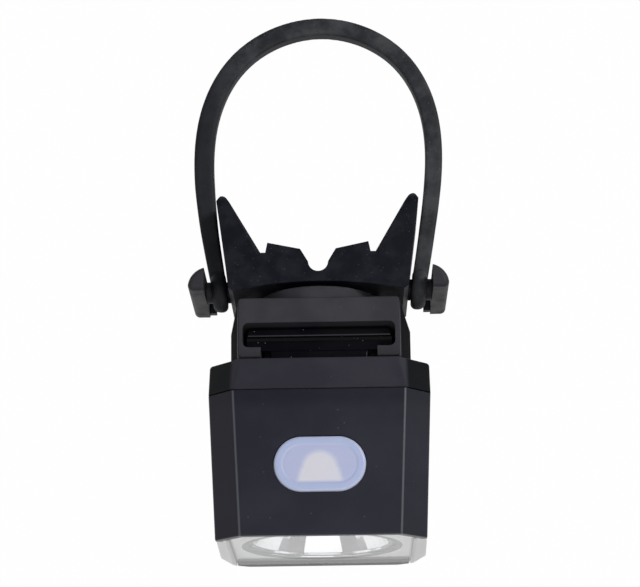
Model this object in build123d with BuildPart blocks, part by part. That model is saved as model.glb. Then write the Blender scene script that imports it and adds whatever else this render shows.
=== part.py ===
from build123d import *
import os
from math import atan2, radians, sin, sqrt

os.makedirs("parts", exist_ok=True)

# Frame: origin on the axis of the clamped tube, at mid height of the cradle.
# +Z is up, the beam points along -Y, and X is the width of the lamp.
# Distances named "at" are measured forwards from the tube axis, along -Y.
# All sizes are in millimetres.

# Help lengths for solids that are added or cut
overlap = 1.0
far = 100.0
screw_tip_gap = 0.5

# Cradle that bears on the tube
tube_radius = 15.9
cradle_height = 23.0
pad_inner_half = 3.6
pad_outer_half = 10.2
pad_rise = 1.4
pad_side_depth = 2.1
notch_width = 1.3
notch_lean = 0.43
screw_notch_depth = 4.7
screw_notch_radius = 2.0
horn_tip_at = 3.0
horn_tip_half = 19.6
horn_tip_radius = 0.95
horn_lean = 1.0
horn_root_at = 19.3
horn_round = 3.5
horn_chamfer = 0.9
cradle_front_at = 24.1
cradle_corner_step = 0.5
cradle_front_step = 0.9
cradle_corner_length = 0.6
cradle_hollow = 1.85
neck_radius = 8.0
neck_rise = 1.075
stem_root_inset = 2.0

# Toggle hooks on both sides of the cradle
hook_at = 21.1
stem_radius = 2.2
hook_gap = 0.75
hook_width = 3.2
hook_length = 4.8
hook_height = 22.0
hook_round = 1.1
hook_lip_width = 1.4
hook_lip_length = 3.4
hook_lip_height = 1.6

# Rubber strap
strap_thickness = 3.5
strap_depth = 3.4
strap_corner = 0.9
strap_root_gap = 0.35
strap_tip_gap = 1.75
strap_wide_y = 8.0
strap_apex_y = 37.4
strap_strand_inset = 0.45
strap_shoulder = (0.95, 0.357)
strap_crown = (0.682, 0.765)
eyelet_radius = 4.1
eyelet_width = 3.3
eyelet_round = 0.6
soft_gap = 0.3

# Swivel between the cradle and the receiver
swivel_gap = 0.1
disc_radius = 12.2
disc_length = 2.55
disc_edge = 0.5
swivel_screw_radius = 2.0
swivel_screw_length = 10.0
swivel_head_radius = 3.4
swivel_head_height = 2.2
swivel_head_round = 0.5
swivel_key_depth = 1.3
swivel_key_radius = 1.2
swivel_running_gap = 0.08
washer_thickness = 0.6
counterbore_gap = 0.5
counterbore_depth = 0.2
insert_radius = 3.0
insert_length = 5.6
insert_recess = 1.0
thread_gap = 0.05

# Receiver with its T-slot
receiver_height = 25.2
receiver_length = 12.3
receiver_top_half = 16.1
receiver_bottom_half = 18.9
receiver_corner = 0.8
receiver_top_round = 0.4
receiver_rear_wall = 5.15
slot_floor = 2.5
slot_corner = 1.2
slot_rear_gap = 0.4
slot_side_gap = 0.65
slot_front_gap = 0.3
slot_neck_gap = 1.75
slide_rest_gap = 0.05

# Slide rail on the back of the lamp
rail_half = 14.55
rail_thickness = 4.35
rail_height = 20.0
rail_corner = 1.1
rail_stem_half = 9.85
rail_stem_corner = 0.5
rail_ledge = 2.0
rail_rebate_depth = 1.6
rail_rebate_reach = 0.3
receiver_front_wall = 2.15
head_gap = 0.7
rail_screw_radius = 1.25
rail_screw_reach = 5.5
rail_screw_spacing = 11.0
rail_head_radius = 2.3
rail_head_height = 1.6

# Outer shape of the lamp head
cover_length = 7.35
housing_length = 28.6
parting_half_top = 16.9
parting_half_side = 21.8
front_taper = 1.35
cover_half_top = 15.5
cover_half_side = 21.9
cover_drop = 4.0
side_draft = -0.02
hip_rise = 4.0
hip_run = 5.6
wall = 2.0
edge_round = 0.8
front_round = 0.35

# Joint between the rear cover and the housing
seal_gap = 0.3
seal_inset = 0.6
tongue_gap = 0.15
tongue_wall = 1.1
tongue_depth = 1.6
cover_screw_radius = 1.0
cover_thread_share = 0.465
cover_head_radius = 1.9
cover_head_height = 1.5
cover_head_recess = 0.4
cover_key_radius = 0.6
tower_wall = 0.8
column_radius = 2.3
column_half = 16.0
column_upper_drop = 9.4
column_lower_rise = 6.6
rib_thickness = 2.0
battery_rib_half = 8.0
battery_rib_height = 18.0

# Lens, reflector and light source
lens_thickness = 2.4
lens_lip = 1.5
lower_lip = 3.2
lens_gap = 0.1
window_top_drop = 6.4
window_bottom_rise = 1.0
window_seam_half = 17.6
window_bevel_width = 2.0
window_bevel_depth = 1.0
beam_height = 1.2
bowl_radius = 14.1
ring_radius = 16.05
bowl_throat = 2.8
bowl_wall = 1.0
bowl_depth = 10.9
ring_step = 1.1
flange_gap = 0.2
optic_gap = 0.1
gasket_thickness = 0.4
rim_width = 2.1
upper_land = 0.8
lower_land = 1.5
rim_thickness = 1.6
led_width = 3.45
led_base = 0.7
led_dome = 1.4
led_board_radius = 8.5
led_board_thickness = 1.6
throat_gap = 0.3

# Heat sink and battery
heat_sink_thickness = 2.4
heat_sink_gap = 0.4
heat_sink_top_gap = 1.3
heat_sink_bottom_gap = 2.4
heat_screw_radius = 1.0
heat_thread_share = 0.26
heat_head_radius = 1.8
heat_head_height = 1.2
battery_pad_thickness = 1.0
battery_thickness = 8.0
battery_top_gap = 2.1
battery_bottom_gap = 3.6
battery_side_gap = 0.4
battery_corner = 2.0
battery_edge = 0.65
pad_width = 20.0
pad_height = 17.0

# Main board, switch and button
board_drop = 3.3
board_thickness = 1.2
board_half = 14.2
board_front_margin = 3.75
board_rear_margin = 2.1
post_radius = 1.7
post_half = 12.3
post_inset = 2.2
board_screw_radius = 0.9
board_screw_reach = 2.9
board_head_radius = 1.6
board_head_height = 1.0
driver_margin = 2.6
driver_spacing = 6.5
chip_width = 4.0
chip_height = 1.2
diode_length = 3.0
diode_width = 1.8
coil_width = 4.2
coil_corner = 0.8
coil_height = 2.2
button_behind_front = 13.7
button_width = 17.8
button_breadth = 10.8
button_gap = 0.15
button_proud = 0.35
button_top_round = 0.6
button_travel = 0.5
button_flange = 1.3
button_flange_thickness = 0.9
button_flange_gap = 0.05
switch_width = 6.2
switch_height = 1.6
plunger_floor = 0.5
plunger_radius = 1.7
plunger_gap = 0.08
press_gap = 0.1
status_led_width = 2.8
status_led_height = 1.0
status_led_offset = 5.8

# Charging port and its cover
port_width = 8.94
port_thickness = 3.2
port_depth = 7.2
port_corner = 0.9
port_mouth_width = 8.34
port_mouth_height = 2.56
port_mouth_depth = 6.0
port_tongue_width = 6.7
port_tongue_height = 0.7
port_gap = 0.25
charge_board_half = 10.5
charge_board_height = 8.2
charge_board_thickness = 1.0
charge_board_gap = 0.8
cover_recess = 1.2
recess_corner = 0.5
flap_width = 13.6
flap_breadth = 8.2
flap_thickness = 1.0
flap_gap = 0.2
flap_corner = 1.2
flap_rest_gap = 0.1
flap_round = 0.45

# Inner leads
lead_radius = 0.55
lead_gap = 0.1
charge_lead_drop = 3.0
led_lead_rise = 6.0
battery_lead_spacing = 2.75


# Places worked out from the sizes above
cradle_half = cradle_height / 2
horn_root_half = horn_tip_half - horn_lean
cradle_corner_half = horn_root_half - cradle_corner_step
cradle_front_half = cradle_corner_half - cradle_front_step
eyelet_half = horn_root_half + strap_root_gap + strap_thickness / 2
strap_arch_half = horn_tip_half + horn_tip_radius + strap_tip_gap + strap_thickness / 2
hook_inner_half = eyelet_half + eyelet_width / 2 + hook_gap
stem_root_half = cradle_front_half - stem_root_inset
pad_inner_at = sqrt(tube_radius**2 - pad_inner_half**2)
pad_outer_at = pad_inner_at - pad_rise
notch_bottom_at = pad_outer_at + pad_side_depth
web_rear_at = pad_inner_at + screw_notch_depth
washer_seat_at = web_rear_at + counterbore_depth
screw_seat_at = washer_seat_at - washer_thickness
neck_front_at = cradle_front_at - cradle_hollow + neck_rise
disc_rear_at = neck_front_at + swivel_gap
receiver_rear_at = disc_rear_at + disc_length
receiver_front_at = receiver_rear_at + receiver_length
receiver_half = receiver_height / 2
cover_rear_at = receiver_front_at + head_gap
slot_rear_at = receiver_rear_at + receiver_rear_wall
rail_rear_at = slot_rear_at + slot_rear_gap
rail_front_at = rail_rear_at + rail_thickness
slot_neck_at = rail_front_at + slot_front_gap
slot_bottom = -receiver_half + slot_floor
rail_bottom = slot_bottom + slide_rest_gap
parting_at = cover_rear_at + cover_length
housing_rear_at = parting_at + seal_gap / 2
cover_front_at = parting_at - seal_gap / 2
front_at = parting_at + housing_length
lens_rear_at = front_at - lens_thickness
flange_front_at = lens_rear_at - optic_gap
flange_rear_at = flange_front_at - ring_step
gasket_rear_at = flange_rear_at - gasket_thickness
rim_rear_at = gasket_rear_at - rim_thickness
throat_at = flange_rear_at - bowl_depth
led_board_front_at = throat_at - throat_gap
heat_sink_front_at = led_board_front_at - led_board_thickness
heat_sink_rear_at = heat_sink_front_at - heat_sink_thickness
battery_front_at = heat_sink_rear_at - battery_pad_thickness
battery_rear_at = battery_front_at - battery_thickness
cover_rib_front_at = battery_rear_at - battery_pad_thickness
clearance_radius = bowl_radius + bowl_wall + flange_gap
head_top = beam_height + clearance_radius + upper_land + flange_gap + lens_lip
head_bottom = beam_height - clearance_radius - lower_land - flange_gap - lower_lip
inner_top = head_top - wall
inner_bottom = head_bottom + wall
window_top = head_top - window_top_drop
window_bottom = head_bottom + window_bottom_rise
window_middle = (window_top + window_bottom) / 2
window_height = window_top - window_bottom
window_spots = [(side * (window_seam_half + far / 2), window_middle) for side in (-1, 1)]
column_upper = inner_top - column_upper_drop
column_lower = inner_bottom + column_lower_rise
column_length = heat_sink_rear_at - housing_rear_at
cover_screw_reach = column_length * cover_thread_share
heat_screw_reach = column_length * heat_thread_share
column_spots = [
    (side * column_half, height)
    for side in (-1, 1)
    for height in (column_lower, column_upper)
]
tower_front_at = housing_rear_at + tongue_depth
column_rear_at = tower_front_at + tongue_gap
button_at = front_at - button_behind_front
board_top = inner_top - board_drop
board_bottom = board_top - board_thickness
board_rear_at = housing_rear_at + board_rear_margin
board_length = button_at + board_front_margin - board_rear_at
board_middle_at = board_rear_at + board_length / 2
heat_sink_top = board_bottom - heat_sink_top_gap
heat_sink_bottom = inner_bottom + heat_sink_bottom_gap
battery_top = board_bottom - battery_top_gap
battery_bottom = inner_bottom + battery_bottom_gap
charge_board_top = inner_bottom + charge_board_height
post_offset = board_length / 2 - post_inset
flange_top = inner_top - button_flange_gap
flange_bottom = flange_top - button_flange_thickness
plunger_top = flange_bottom - press_gap
charge_board_rear_at = heat_sink_front_at + charge_board_gap
port_rear_at = charge_board_rear_at + charge_board_thickness
port_middle_at = port_rear_at + port_thickness / 2
recess_floor = head_bottom + cover_recess
port_bottom = recess_floor + flap_gap
flap_bottom = recess_floor - flap_rest_gap - flap_thickness


def at(distance):
    """Plane across the beam, a distance in front of the tube axis."""
    return Plane.XZ.offset(distance)


def mirrored(points):
    """A right half outline, top to bottom, closed over the left side."""
    return points + [(-x, z) for x, z in reversed(points)]


def head_outline(distance):
    """Eight-sided section of the lamp head at a distance."""
    share = (distance - parting_at) / housing_length
    half_top = parting_half_top - front_taper * share
    half_side = parting_half_side - front_taper * share
    top = head_top
    bottom = head_bottom
    if distance < parting_at:
        share = (parting_at - distance) / cover_length
        half_top = parting_half_top + (cover_half_top - parting_half_top) * share
        half_side = parting_half_side + (cover_half_side - parting_half_side) * share
        top = head_top - cover_drop * share
        bottom = head_bottom + cover_drop * share
    shoulder = top - (half_side - half_top)
    hip = bottom + hip_rise
    half_hip = half_side - side_draft * (shoulder - hip)
    half_bottom = half_hip - hip_run
    return mirrored(
        [(half_top, top), (half_side, shoulder), (half_hip, hip), (half_bottom, bottom)]
    )


def head_face(distance, inset=0.0, mode=Mode.ADD):
    """The head's section at a distance as a face, drawn in by an inset."""
    face = Polygon(*head_outline(distance), align=None, mode=Mode.PRIVATE)
    if inset:
        face = offset(face, amount=-inset, kind=Kind.INTERSECTION, mode=Mode.PRIVATE)
    add(face, mode=mode)


def head_corners(distance, inset):
    """Corners of the head's section, drawn in by an inset, in order round the beam."""
    with BuildSketch(at(distance)) as section:
        head_face(distance, inset)
    return sorted((Vector(v) for v in section.sketch.vertices()), key=lambda v: atan2(v.Z, v.X))


def head_block(rear, front, inset=0.0, mode=Mode.ADD):
    """Solid with flat faces between two of the head's sections."""
    rings = [head_corners(distance, inset) for distance in (rear, front)]
    walls = [
        [rings[0][i - 1], rings[0][i], rings[1][i], rings[1][i - 1]]
        for i in range(len(rings[0]))
    ]
    faces = [Face(Wire.make_polygon(corners)) for corners in rings + walls]
    add(Solid(Shell(faces)), mode=mode)


def lens_face(inset=0.0, mode=Mode.ADD):
    """The front opening, with its deeper lower lip."""
    with BuildSketch(mode=Mode.PRIVATE) as opening:
        head_face(front_at, lens_lip + inset)
        with Locations((0, head_bottom + lower_lip + inset)):
            Rectangle(far, far, align=(Align.CENTER, Align.MIN), mode=Mode.INTERSECT)
    add(opening.sketch, mode=mode)


def bevel_wedge(start, end, width):
    """Four-sided wedge that bevels an edge by nothing at its start and a width at its end."""
    run = end - start
    outward = Vector(0, 0, end.Z).normalized()
    inward = run.cross(outward).normalized() * (-1 if end.X * end.Z > 0 else 1)
    corners = [
        start,
        end + inward * (width + overlap) + outward * overlap,
        end - inward * overlap - outward * (width + overlap),
        end - inward * overlap + outward * overlap,
    ]
    faces = [Face(Wire.make_polygon(corners[:i] + corners[i + 1 :])) for i in range(len(corners))]
    add(Solid(Shell(faces)), mode=Mode.SUBTRACT)


def edges_along(part, direction, least):
    """Edges longer than a size that run roughly along a direction."""
    return part.edges().filter_by(
        lambda edge: edge.length > least and abs(edge.tangent_at(0.5).dot(Vector(direction))) > 0.6
    )


# Cradle: plan outline of the horns, pads and notches
horn_points = [
    (cradle_front_half, -cradle_front_at),
    (cradle_corner_half, -cradle_front_at + cradle_corner_length),
    (horn_root_half, -horn_root_at),
    (horn_tip_half + horn_tip_radius, -horn_tip_at - 2 * horn_tip_radius),
    (horn_tip_half, -horn_tip_at),
    (horn_tip_half - horn_tip_radius, -horn_tip_at - horn_tip_radius),
    (pad_outer_half + notch_width, -notch_bottom_at),
    (pad_outer_half + notch_lean, -notch_bottom_at),
    (pad_outer_half, -pad_outer_at),
    (pad_inner_half, -pad_inner_at),
    (screw_notch_radius, -web_rear_at + screw_notch_radius),
]

with BuildPart() as cradle:
    with BuildSketch(Plane.XY.offset(-cradle_half)):
        with BuildLine():
            for side in (-1, 1):
                Polyline(*[(side * x, y) for x, y in horn_points])
            ThreePointArc(
                (-cradle_front_half, -cradle_front_at),
                (0, -cradle_front_at + cradle_hollow),
                (cradle_front_half, -cradle_front_at),
            )
            ThreePointArc(
                (-screw_notch_radius, -web_rear_at + screw_notch_radius),
                (0, -web_rear_at),
                (screw_notch_radius, -web_rear_at + screw_notch_radius),
            )
        make_face()
    extrude(amount=cradle_height)
    # Horn tips rounded over in height
    with BuildSketch(Plane.YZ.offset(-far / 2)):
        with Locations((-horn_tip_at, 0)):
            RectangleRounded(
                2 * cradle_front_at,
                cradle_height,
                horn_round,
                align=(Align.MAX, Align.CENTER),
            )
    extrude(amount=far, mode=Mode.INTERSECT)
    # Bevels along the inner edges of the horns
    for side in (-1, 1):
        for face in (-1, 1):
            inner_tip, notch_corner = (
                Vector(side * x, y, face * cradle_half) for x, y in horn_points[5:7]
            )
            bevel_wedge(inner_tip, notch_corner, horn_chamfer)
    # Neck that the receiver turns on
    with BuildSketch(at(web_rear_at + overlap)):
        Circle(neck_radius)
    extrude(amount=neck_front_at - web_rear_at - overlap)
    # Stems and toggle heads for the strap
    half_turn = sin(radians(45))
    for side in (-1, 1):
        with BuildSketch(Plane.YZ.offset(side * stem_root_half)):
            with Locations((-hook_at, 0)):
                Circle(stem_radius)
        extrude(amount=side * (hook_inner_half + hook_width / 2 - stem_root_half))
    for side in (-1, 1):
        with BuildPart(mode=Mode.PRIVATE) as hook:
            with BuildSketch(Plane.XY.offset(-hook_height / 2)):
                with BuildLine():
                    front = -hook_at - hook_length / 2
                    back = front + hook_length
                    inner = side * hook_inner_half
                    outer = side * (hook_inner_half + hook_width)
                    Line((inner, back), (inner, front))
                    Line((inner, front), (outer, front))
                    middle_x = inner + side * hook_width * half_turn
                    middle_y = front + hook_length * half_turn
                    ThreePointArc((outer, front), (middle_x, middle_y), (inner, back))
                make_face()
            extrude(amount=hook_height)
            fillet(
                hook.edges().filter_by(lambda edge: abs(edge.center().X - inner) > hook_round),
                radius=hook_round,
            )
        add(hook.part)
        with BuildSketch(Plane.XY.offset(-hook_height / 2)):
            with Locations((inner - side * hook_lip_width / 2, front + hook_length / 2)):
                Rectangle(hook_lip_width, hook_lip_length)
        extrude(amount=hook_lip_height)
    # Screw hole, and the pocket that its head turns in
    with BuildSketch(at(0)):
        Circle(swivel_head_radius + counterbore_gap)
    extrude(amount=washer_seat_at, mode=Mode.SUBTRACT)
    with BuildSketch(at(0)):
        Circle(swivel_screw_radius + swivel_running_gap)
    extrude(amount=2 * cradle_front_at, mode=Mode.SUBTRACT)

cradle.part.label = "cradle"
export_step(cradle.part, "parts/cradle.step")

# Strap: an arch whose strands end in eyelets on the stems
strap_rise = strap_apex_y - strap_wide_y
strap_points = [
    (eyelet_half, -hook_at),
    (strap_arch_half - strap_strand_inset, 0),
    (strap_arch_half, strap_wide_y),
]
for half_share, rise_share in (strap_shoulder, strap_crown):
    strap_points.append(
        (strap_arch_half * half_share, strap_wide_y + strap_rise * rise_share)
    )
strap_points = (
    [(-x, y) for x, y in strap_points]
    + [(0, strap_apex_y)]
    + [(x, y) for x, y in reversed(strap_points)]
)

with BuildPart() as strap:
    for side in (-1, 1):
        with BuildSketch(Plane.YZ.offset(side * eyelet_half - eyelet_width / 2)):
            with Locations((-hook_at, 0)):
                Circle(eyelet_radius)
        extrude(amount=eyelet_width)
    fillet(strap.edges().filter_by(GeomType.CIRCLE), radius=eyelet_round)
    with BuildLine() as strap_line:
        Spline(*strap_points)
    strap_path = strap_line.wires()[0]
    foot = strap_path.position_at(0)
    upwards = strap_path.tangent_at(0)
    with BuildSketch(Plane(foot, x_dir=upwards.cross(Vector(0, 0, 1)), z_dir=upwards)):
        RectangleRounded(strap_thickness, strap_depth, strap_corner)
    sweep(path=strap_path)
    with BuildSketch(Plane.YZ.offset(-hook_inner_half)):
        with Locations((-hook_at, 0)):
            Circle(stem_radius + soft_gap)
    extrude(amount=2 * hook_inner_half, mode=Mode.SUBTRACT)

strap.part.label = "strap"
export_step(strap.part, "parts/strap.step")

# Pivot screw, its washer and the threaded insert
with BuildPart() as swivel_washer:
    with BuildSketch(at(screw_seat_at)):
        Circle(swivel_head_radius)
        Circle(swivel_screw_radius + swivel_running_gap, mode=Mode.SUBTRACT)
    extrude(amount=washer_thickness)

swivel_washer.part.label = "swivel_washer"
export_step(swivel_washer.part, "parts/swivel_washer.step")

with BuildPart() as swivel_screw:
    with BuildSketch(at(screw_seat_at - swivel_head_height)):
        Circle(swivel_head_radius)
    extrude(amount=swivel_head_height)
    fillet(swivel_screw.edges().group_by(Axis.Y)[-1], radius=swivel_head_round)
    with BuildSketch(at(screw_seat_at)):
        Circle(swivel_screw_radius)
    extrude(amount=swivel_screw_length)
    with BuildSketch(at(screw_seat_at - swivel_head_height)):
        RegularPolygon(swivel_key_radius, 6)
    extrude(amount=swivel_key_depth, mode=Mode.SUBTRACT)

swivel_screw.part.label = "swivel_screw"
export_step(swivel_screw.part, "parts/swivel_screw.step")

insert_rear_at = disc_rear_at + insert_recess
with BuildPart() as swivel_insert:
    with BuildSketch(at(insert_rear_at)):
        Circle(insert_radius - thread_gap / 2)
        Circle(swivel_screw_radius + thread_gap, mode=Mode.SUBTRACT)
    extrude(amount=insert_length)

swivel_insert.part.label = "swivel_insert"
export_step(swivel_insert.part, "parts/swivel_insert.step")

# Receiver: drafted block with a turning disc behind and a T-slot from above
with BuildPart() as receiver:
    with BuildSketch(at(receiver_rear_at)):
        Polygon(
            (receiver_bottom_half, -receiver_half),
            (receiver_top_half, receiver_half),
            (-receiver_top_half, receiver_half),
            (-receiver_bottom_half, -receiver_half),
            align=None,
        )
    extrude(amount=receiver_length)
    fillet(edges_along(receiver, (0, 0, 1), receiver_length * 2), radius=receiver_corner)
    fillet(receiver.faces().sort_by(Axis.Z)[-1].edges(), radius=receiver_top_round)
    with BuildSketch(at(disc_rear_at)):
        Circle(disc_radius)
    extrude(amount=disc_length + overlap)
    fillet(receiver.edges().group_by(Axis.Y)[-1], radius=disc_edge)
    with BuildSketch(Plane.XY.offset(slot_bottom)):
        with Locations((0, -(slot_rear_at + slot_neck_at) / 2)):
            RectangleRounded(
                2 * (rail_half + slot_side_gap),
                slot_neck_at - slot_rear_at,
                slot_corner,
            )
        with Locations((0, -slot_neck_at)):
            Rectangle(
                2 * (rail_stem_half + slot_neck_gap),
                2 * (receiver_front_wall + overlap),
            )
    extrude(amount=receiver_height, mode=Mode.SUBTRACT)
    with BuildSketch(at(disc_rear_at)):
        Circle(insert_radius)
    extrude(amount=insert_recess + insert_length, mode=Mode.SUBTRACT)

receiver.part.label = "receiver"
export_step(receiver.part, "parts/receiver.step")

# Slide rail: T-section bar that hangs in the slot
with BuildPart() as slide_rail:
    with BuildSketch(Plane.XY.offset(rail_bottom)):
        with Locations((0, -(rail_rear_at + rail_front_at) / 2)):
            RectangleRounded(2 * rail_half, rail_thickness, rail_corner)
        stem_length = cover_rear_at - rail_front_at + rail_corner
        with Locations((0, -cover_rear_at + stem_length / 2)):
            Rectangle(2 * rail_stem_half, stem_length)
    extrude(amount=rail_height)
    # Rebate in front of the ledge that the rail is pressed by
    with BuildSketch(Plane.XY.offset(rail_bottom + rail_height)):
        rebate_length = rail_front_at + rail_rebate_reach - rail_rear_at - rail_ledge
        with Locations((0, -rail_rear_at - rail_ledge - rebate_length / 2)):
            Rectangle(2 * rail_half + overlap, rebate_length)
    extrude(amount=-rail_rebate_depth, mode=Mode.SUBTRACT)
    fillet(slide_rail.edges().group_by(Axis.Z)[-1], radius=rail_stem_corner)
    with BuildSketch(at(cover_rear_at)):
        with GridLocations(1, rail_screw_spacing, 1, 2):
            Circle(rail_screw_radius + thread_gap)
    extrude(amount=-rail_screw_reach, mode=Mode.SUBTRACT)

slide_rail.part.label = "slide_rail"
export_step(slide_rail.part, "parts/slide_rail.step")

with BuildPart() as rail_screws:
    with BuildSketch(at(cover_rear_at + wall)):
        with GridLocations(1, rail_screw_spacing, 1, 2):
            Circle(rail_head_radius)
    extrude(amount=rail_head_height)
    with BuildSketch(at(cover_rear_at + wall)):
        with GridLocations(1, rail_screw_spacing, 1, 2):
            Circle(rail_screw_radius)
    extrude(amount=-wall - rail_screw_reach + screw_tip_gap)

rail_screws.part.label = "rail_screws"
export_step(rail_screws.part, "parts/rail_screws.step")

# Rear cover: bevelled cap with a tongue that locates in the housing
with BuildPart() as rear_cover:
    head_block(cover_rear_at, cover_front_at)
    rear_edges = rear_cover.faces().sort_by(Axis.Y)[-1].edges()
    fillet(edges_along(rear_cover, (0, 1, 0), 0) + rear_edges, radius=edge_round)
    head_block(cover_rear_at + wall, cover_front_at, wall, mode=Mode.SUBTRACT)
    with BuildSketch(at(cover_front_at - tongue_depth)):
        head_face(housing_rear_at, wall + tongue_gap)
        head_face(housing_rear_at, wall + tongue_gap + tongue_wall, mode=Mode.SUBTRACT)
    extrude(amount=2 * tongue_depth + seal_gap)
    # Ribs that press on the battery
    with BuildSketch(at(cover_rear_at + wall)):
        with GridLocations(2 * battery_rib_half, 1, 2, 1):
            Rectangle(rib_thickness, battery_rib_height)
    extrude(amount=cover_rib_front_at - cover_rear_at - wall)
    # Holes for the rail screws and the cover screws
    with BuildSketch(at(cover_rear_at)):
        with GridLocations(1, rail_screw_spacing, 1, 2):
            Circle(rail_screw_radius + thread_gap)
    extrude(amount=wall, mode=Mode.SUBTRACT)
    with BuildSketch(at(cover_rear_at + wall / 2)):
        with Locations(*column_spots):
            Circle(cover_head_radius + tower_wall)
        head_face(housing_rear_at + tongue_depth, wall + tongue_gap, mode=Mode.INTERSECT)
    extrude(amount=tower_front_at - cover_rear_at - wall / 2)
    with BuildSketch(at(cover_rear_at)):
        with Locations(*column_spots):
            Circle(cover_head_radius + thread_gap)
    extrude(amount=cover_head_recess + cover_head_height, mode=Mode.SUBTRACT)
    with BuildSketch(at(cover_rear_at)):
        with Locations(*column_spots):
            Circle(cover_screw_radius + thread_gap)
    extrude(amount=2 * cover_length, mode=Mode.SUBTRACT)

rear_cover.part.label = "rear_cover"
export_step(rear_cover.part, "parts/rear_cover.step")

# Rubber seal in the parting line
with BuildPart() as rear_gasket:
    with BuildSketch(at(cover_front_at)):
        head_face(parting_at, seal_inset)
        head_face(parting_at, wall, mode=Mode.SUBTRACT)
    extrude(amount=seal_gap)

rear_gasket.part.label = "rear_gasket"
export_step(rear_gasket.part, "parts/rear_gasket.step")

cover_shank_at = cover_rear_at + cover_head_recess + cover_head_height / 2
cover_shank_length = housing_rear_at + cover_screw_reach - cover_shank_at
with BuildPart() as cover_screws:
    with BuildSketch(at(cover_rear_at + cover_head_recess)):
        with Locations(*column_spots):
            Circle(cover_head_radius)
            Circle(cover_key_radius, mode=Mode.SUBTRACT)
    extrude(amount=cover_head_height)
    with BuildSketch(at(cover_shank_at)):
        with Locations(*column_spots):
            Circle(cover_screw_radius)
    extrude(amount=cover_shank_length)

cover_screws.part.label = "cover_screws"
export_step(cover_screws.part, "parts/cover_screws.step")

# Housing: tapered eight-sided sleeve, open behind and in front
with BuildPart() as main_housing:
    head_block(housing_rear_at, front_at)
    fillet(edges_along(main_housing, (0, 1, 0), housing_length / 2), radius=edge_round)
    fillet(main_housing.faces().sort_by(Axis.Y)[0].edges(), radius=front_round)
    head_block(housing_rear_at, rim_rear_at, wall, mode=Mode.SUBTRACT)
    with BuildSketch(at(rim_rear_at - overlap)):
        lens_face(rim_width)
        with Locations((0, beam_height)):
            Circle(clearance_radius)
    extrude(amount=rim_thickness + 2 * overlap, mode=Mode.SUBTRACT)
    with BuildSketch(at(gasket_rear_at)):
        lens_face()
    extrude(amount=front_at - gasket_rear_at + overlap, mode=Mode.SUBTRACT)
    # Gaps in the side walls for the wrapped ends of the lens
    with BuildSketch(at(lens_rear_at)):
        with Locations(*window_spots):
            Rectangle(far, window_height)
    extrude(amount=lens_thickness + overlap, mode=Mode.SUBTRACT)
    # Columns for the cover screws and the heat sink, each with a rib
    with BuildSketch(at(column_rear_at)):
        with Locations(*column_spots):
            Circle(column_radius)
        for x, z in column_spots:
            outward = Align.MIN if x > 0 else Align.MAX
            with Locations((x, z)):
                Rectangle(far, rib_thickness, align=(outward, Align.CENTER))
        head_face(front_at, wall / 2, mode=Mode.INTERSECT)
    extrude(amount=heat_sink_rear_at - column_rear_at)
    # Posts under the top wall that carry the main board
    with BuildSketch(Plane.XY.offset(board_top)):
        with Locations((0, -board_middle_at)):
            with GridLocations(2 * post_half, 2 * post_offset, 2, 2):
                Circle(post_radius)
    extrude(amount=head_top - wall / 2 - board_top)
    with BuildSketch(Plane.XY.offset(board_top)):
        with Locations((0, -board_middle_at)):
            with GridLocations(2 * post_half, 2 * post_offset, 2, 2):
                Circle(board_screw_radius + thread_gap)
    extrude(amount=board_screw_reach, mode=Mode.SUBTRACT)
    # Screw holes in the columns, from both ends
    with BuildSketch(at(housing_rear_at)):
        with Locations(*column_spots):
            Circle(cover_screw_radius + thread_gap)
    extrude(amount=heat_sink_rear_at - housing_rear_at, mode=Mode.SUBTRACT)
    # Button opening in the top
    with BuildSketch(Plane.XY.offset(inner_top - overlap)):
        with Locations((0, -button_at)):
            SlotOverall(button_width + 2 * button_gap, button_breadth + 2 * button_gap)
    extrude(amount=wall + 2 * overlap, mode=Mode.SUBTRACT)
    # Port opening underneath, with a recess for its cover
    with BuildSketch(Plane.XY.offset(head_bottom)):
        with Locations((0, -port_middle_at)):
            RectangleRounded(
                flap_width + 2 * flap_gap,
                flap_breadth + 2 * flap_gap,
                recess_corner,
            )
    extrude(amount=cover_recess, mode=Mode.SUBTRACT)
    with BuildSketch(Plane.XY.offset(head_bottom)):
        with Locations((0, -port_middle_at)):
            RectangleRounded(
                port_width + 2 * port_gap,
                port_thickness + 2 * port_gap,
                port_corner + port_gap,
            )
    extrude(amount=2 * wall, mode=Mode.SUBTRACT)

main_housing.part.label = "main_housing"
export_step(main_housing.part, "parts/main_housing.step")

# Clear lens that fills the front and wraps round both sides
with BuildPart() as front_lens:
    with BuildSketch(at(lens_rear_at)):
        lens_face(lens_gap)
    extrude(amount=lens_thickness)
    with BuildSketch(at(lens_rear_at)):
        head_face(front_at)
        with Locations(*window_spots):
            Rectangle(far - 2 * lens_gap, window_height - 2 * lens_gap, mode=Mode.INTERSECT)
    extrude(amount=lens_thickness)
    for side in (-1, 1):
        with BuildSketch(Plane.XY.offset(head_bottom)):
            corner = head_outline(front_at)[1][0] + lens_gap
            Polygon(
                (side * (corner - window_bevel_width), -front_at),
                (side * (corner + window_bevel_width), -front_at),
                (side * (corner + window_bevel_width), -front_at + 2 * window_bevel_depth),
                align=None,
            )
        extrude(amount=2 * head_top, mode=Mode.SUBTRACT)

front_lens.part.label = "front_lens"
export_step(front_lens.part, "parts/front_lens.step")

# Gasket behind the reflector's flange
with BuildPart() as lens_gasket:
    with BuildSketch(at(gasket_rear_at)):
        lens_face(flange_gap)
        lens_face(rim_width, mode=Mode.SUBTRACT)
        with Locations((0, beam_height)):
            Circle(clearance_radius, mode=Mode.SUBTRACT)
    extrude(amount=gasket_thickness)

lens_gasket.part.label = "lens_gasket"
export_step(lens_gasket.part, "parts/lens_gasket.step")

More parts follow.
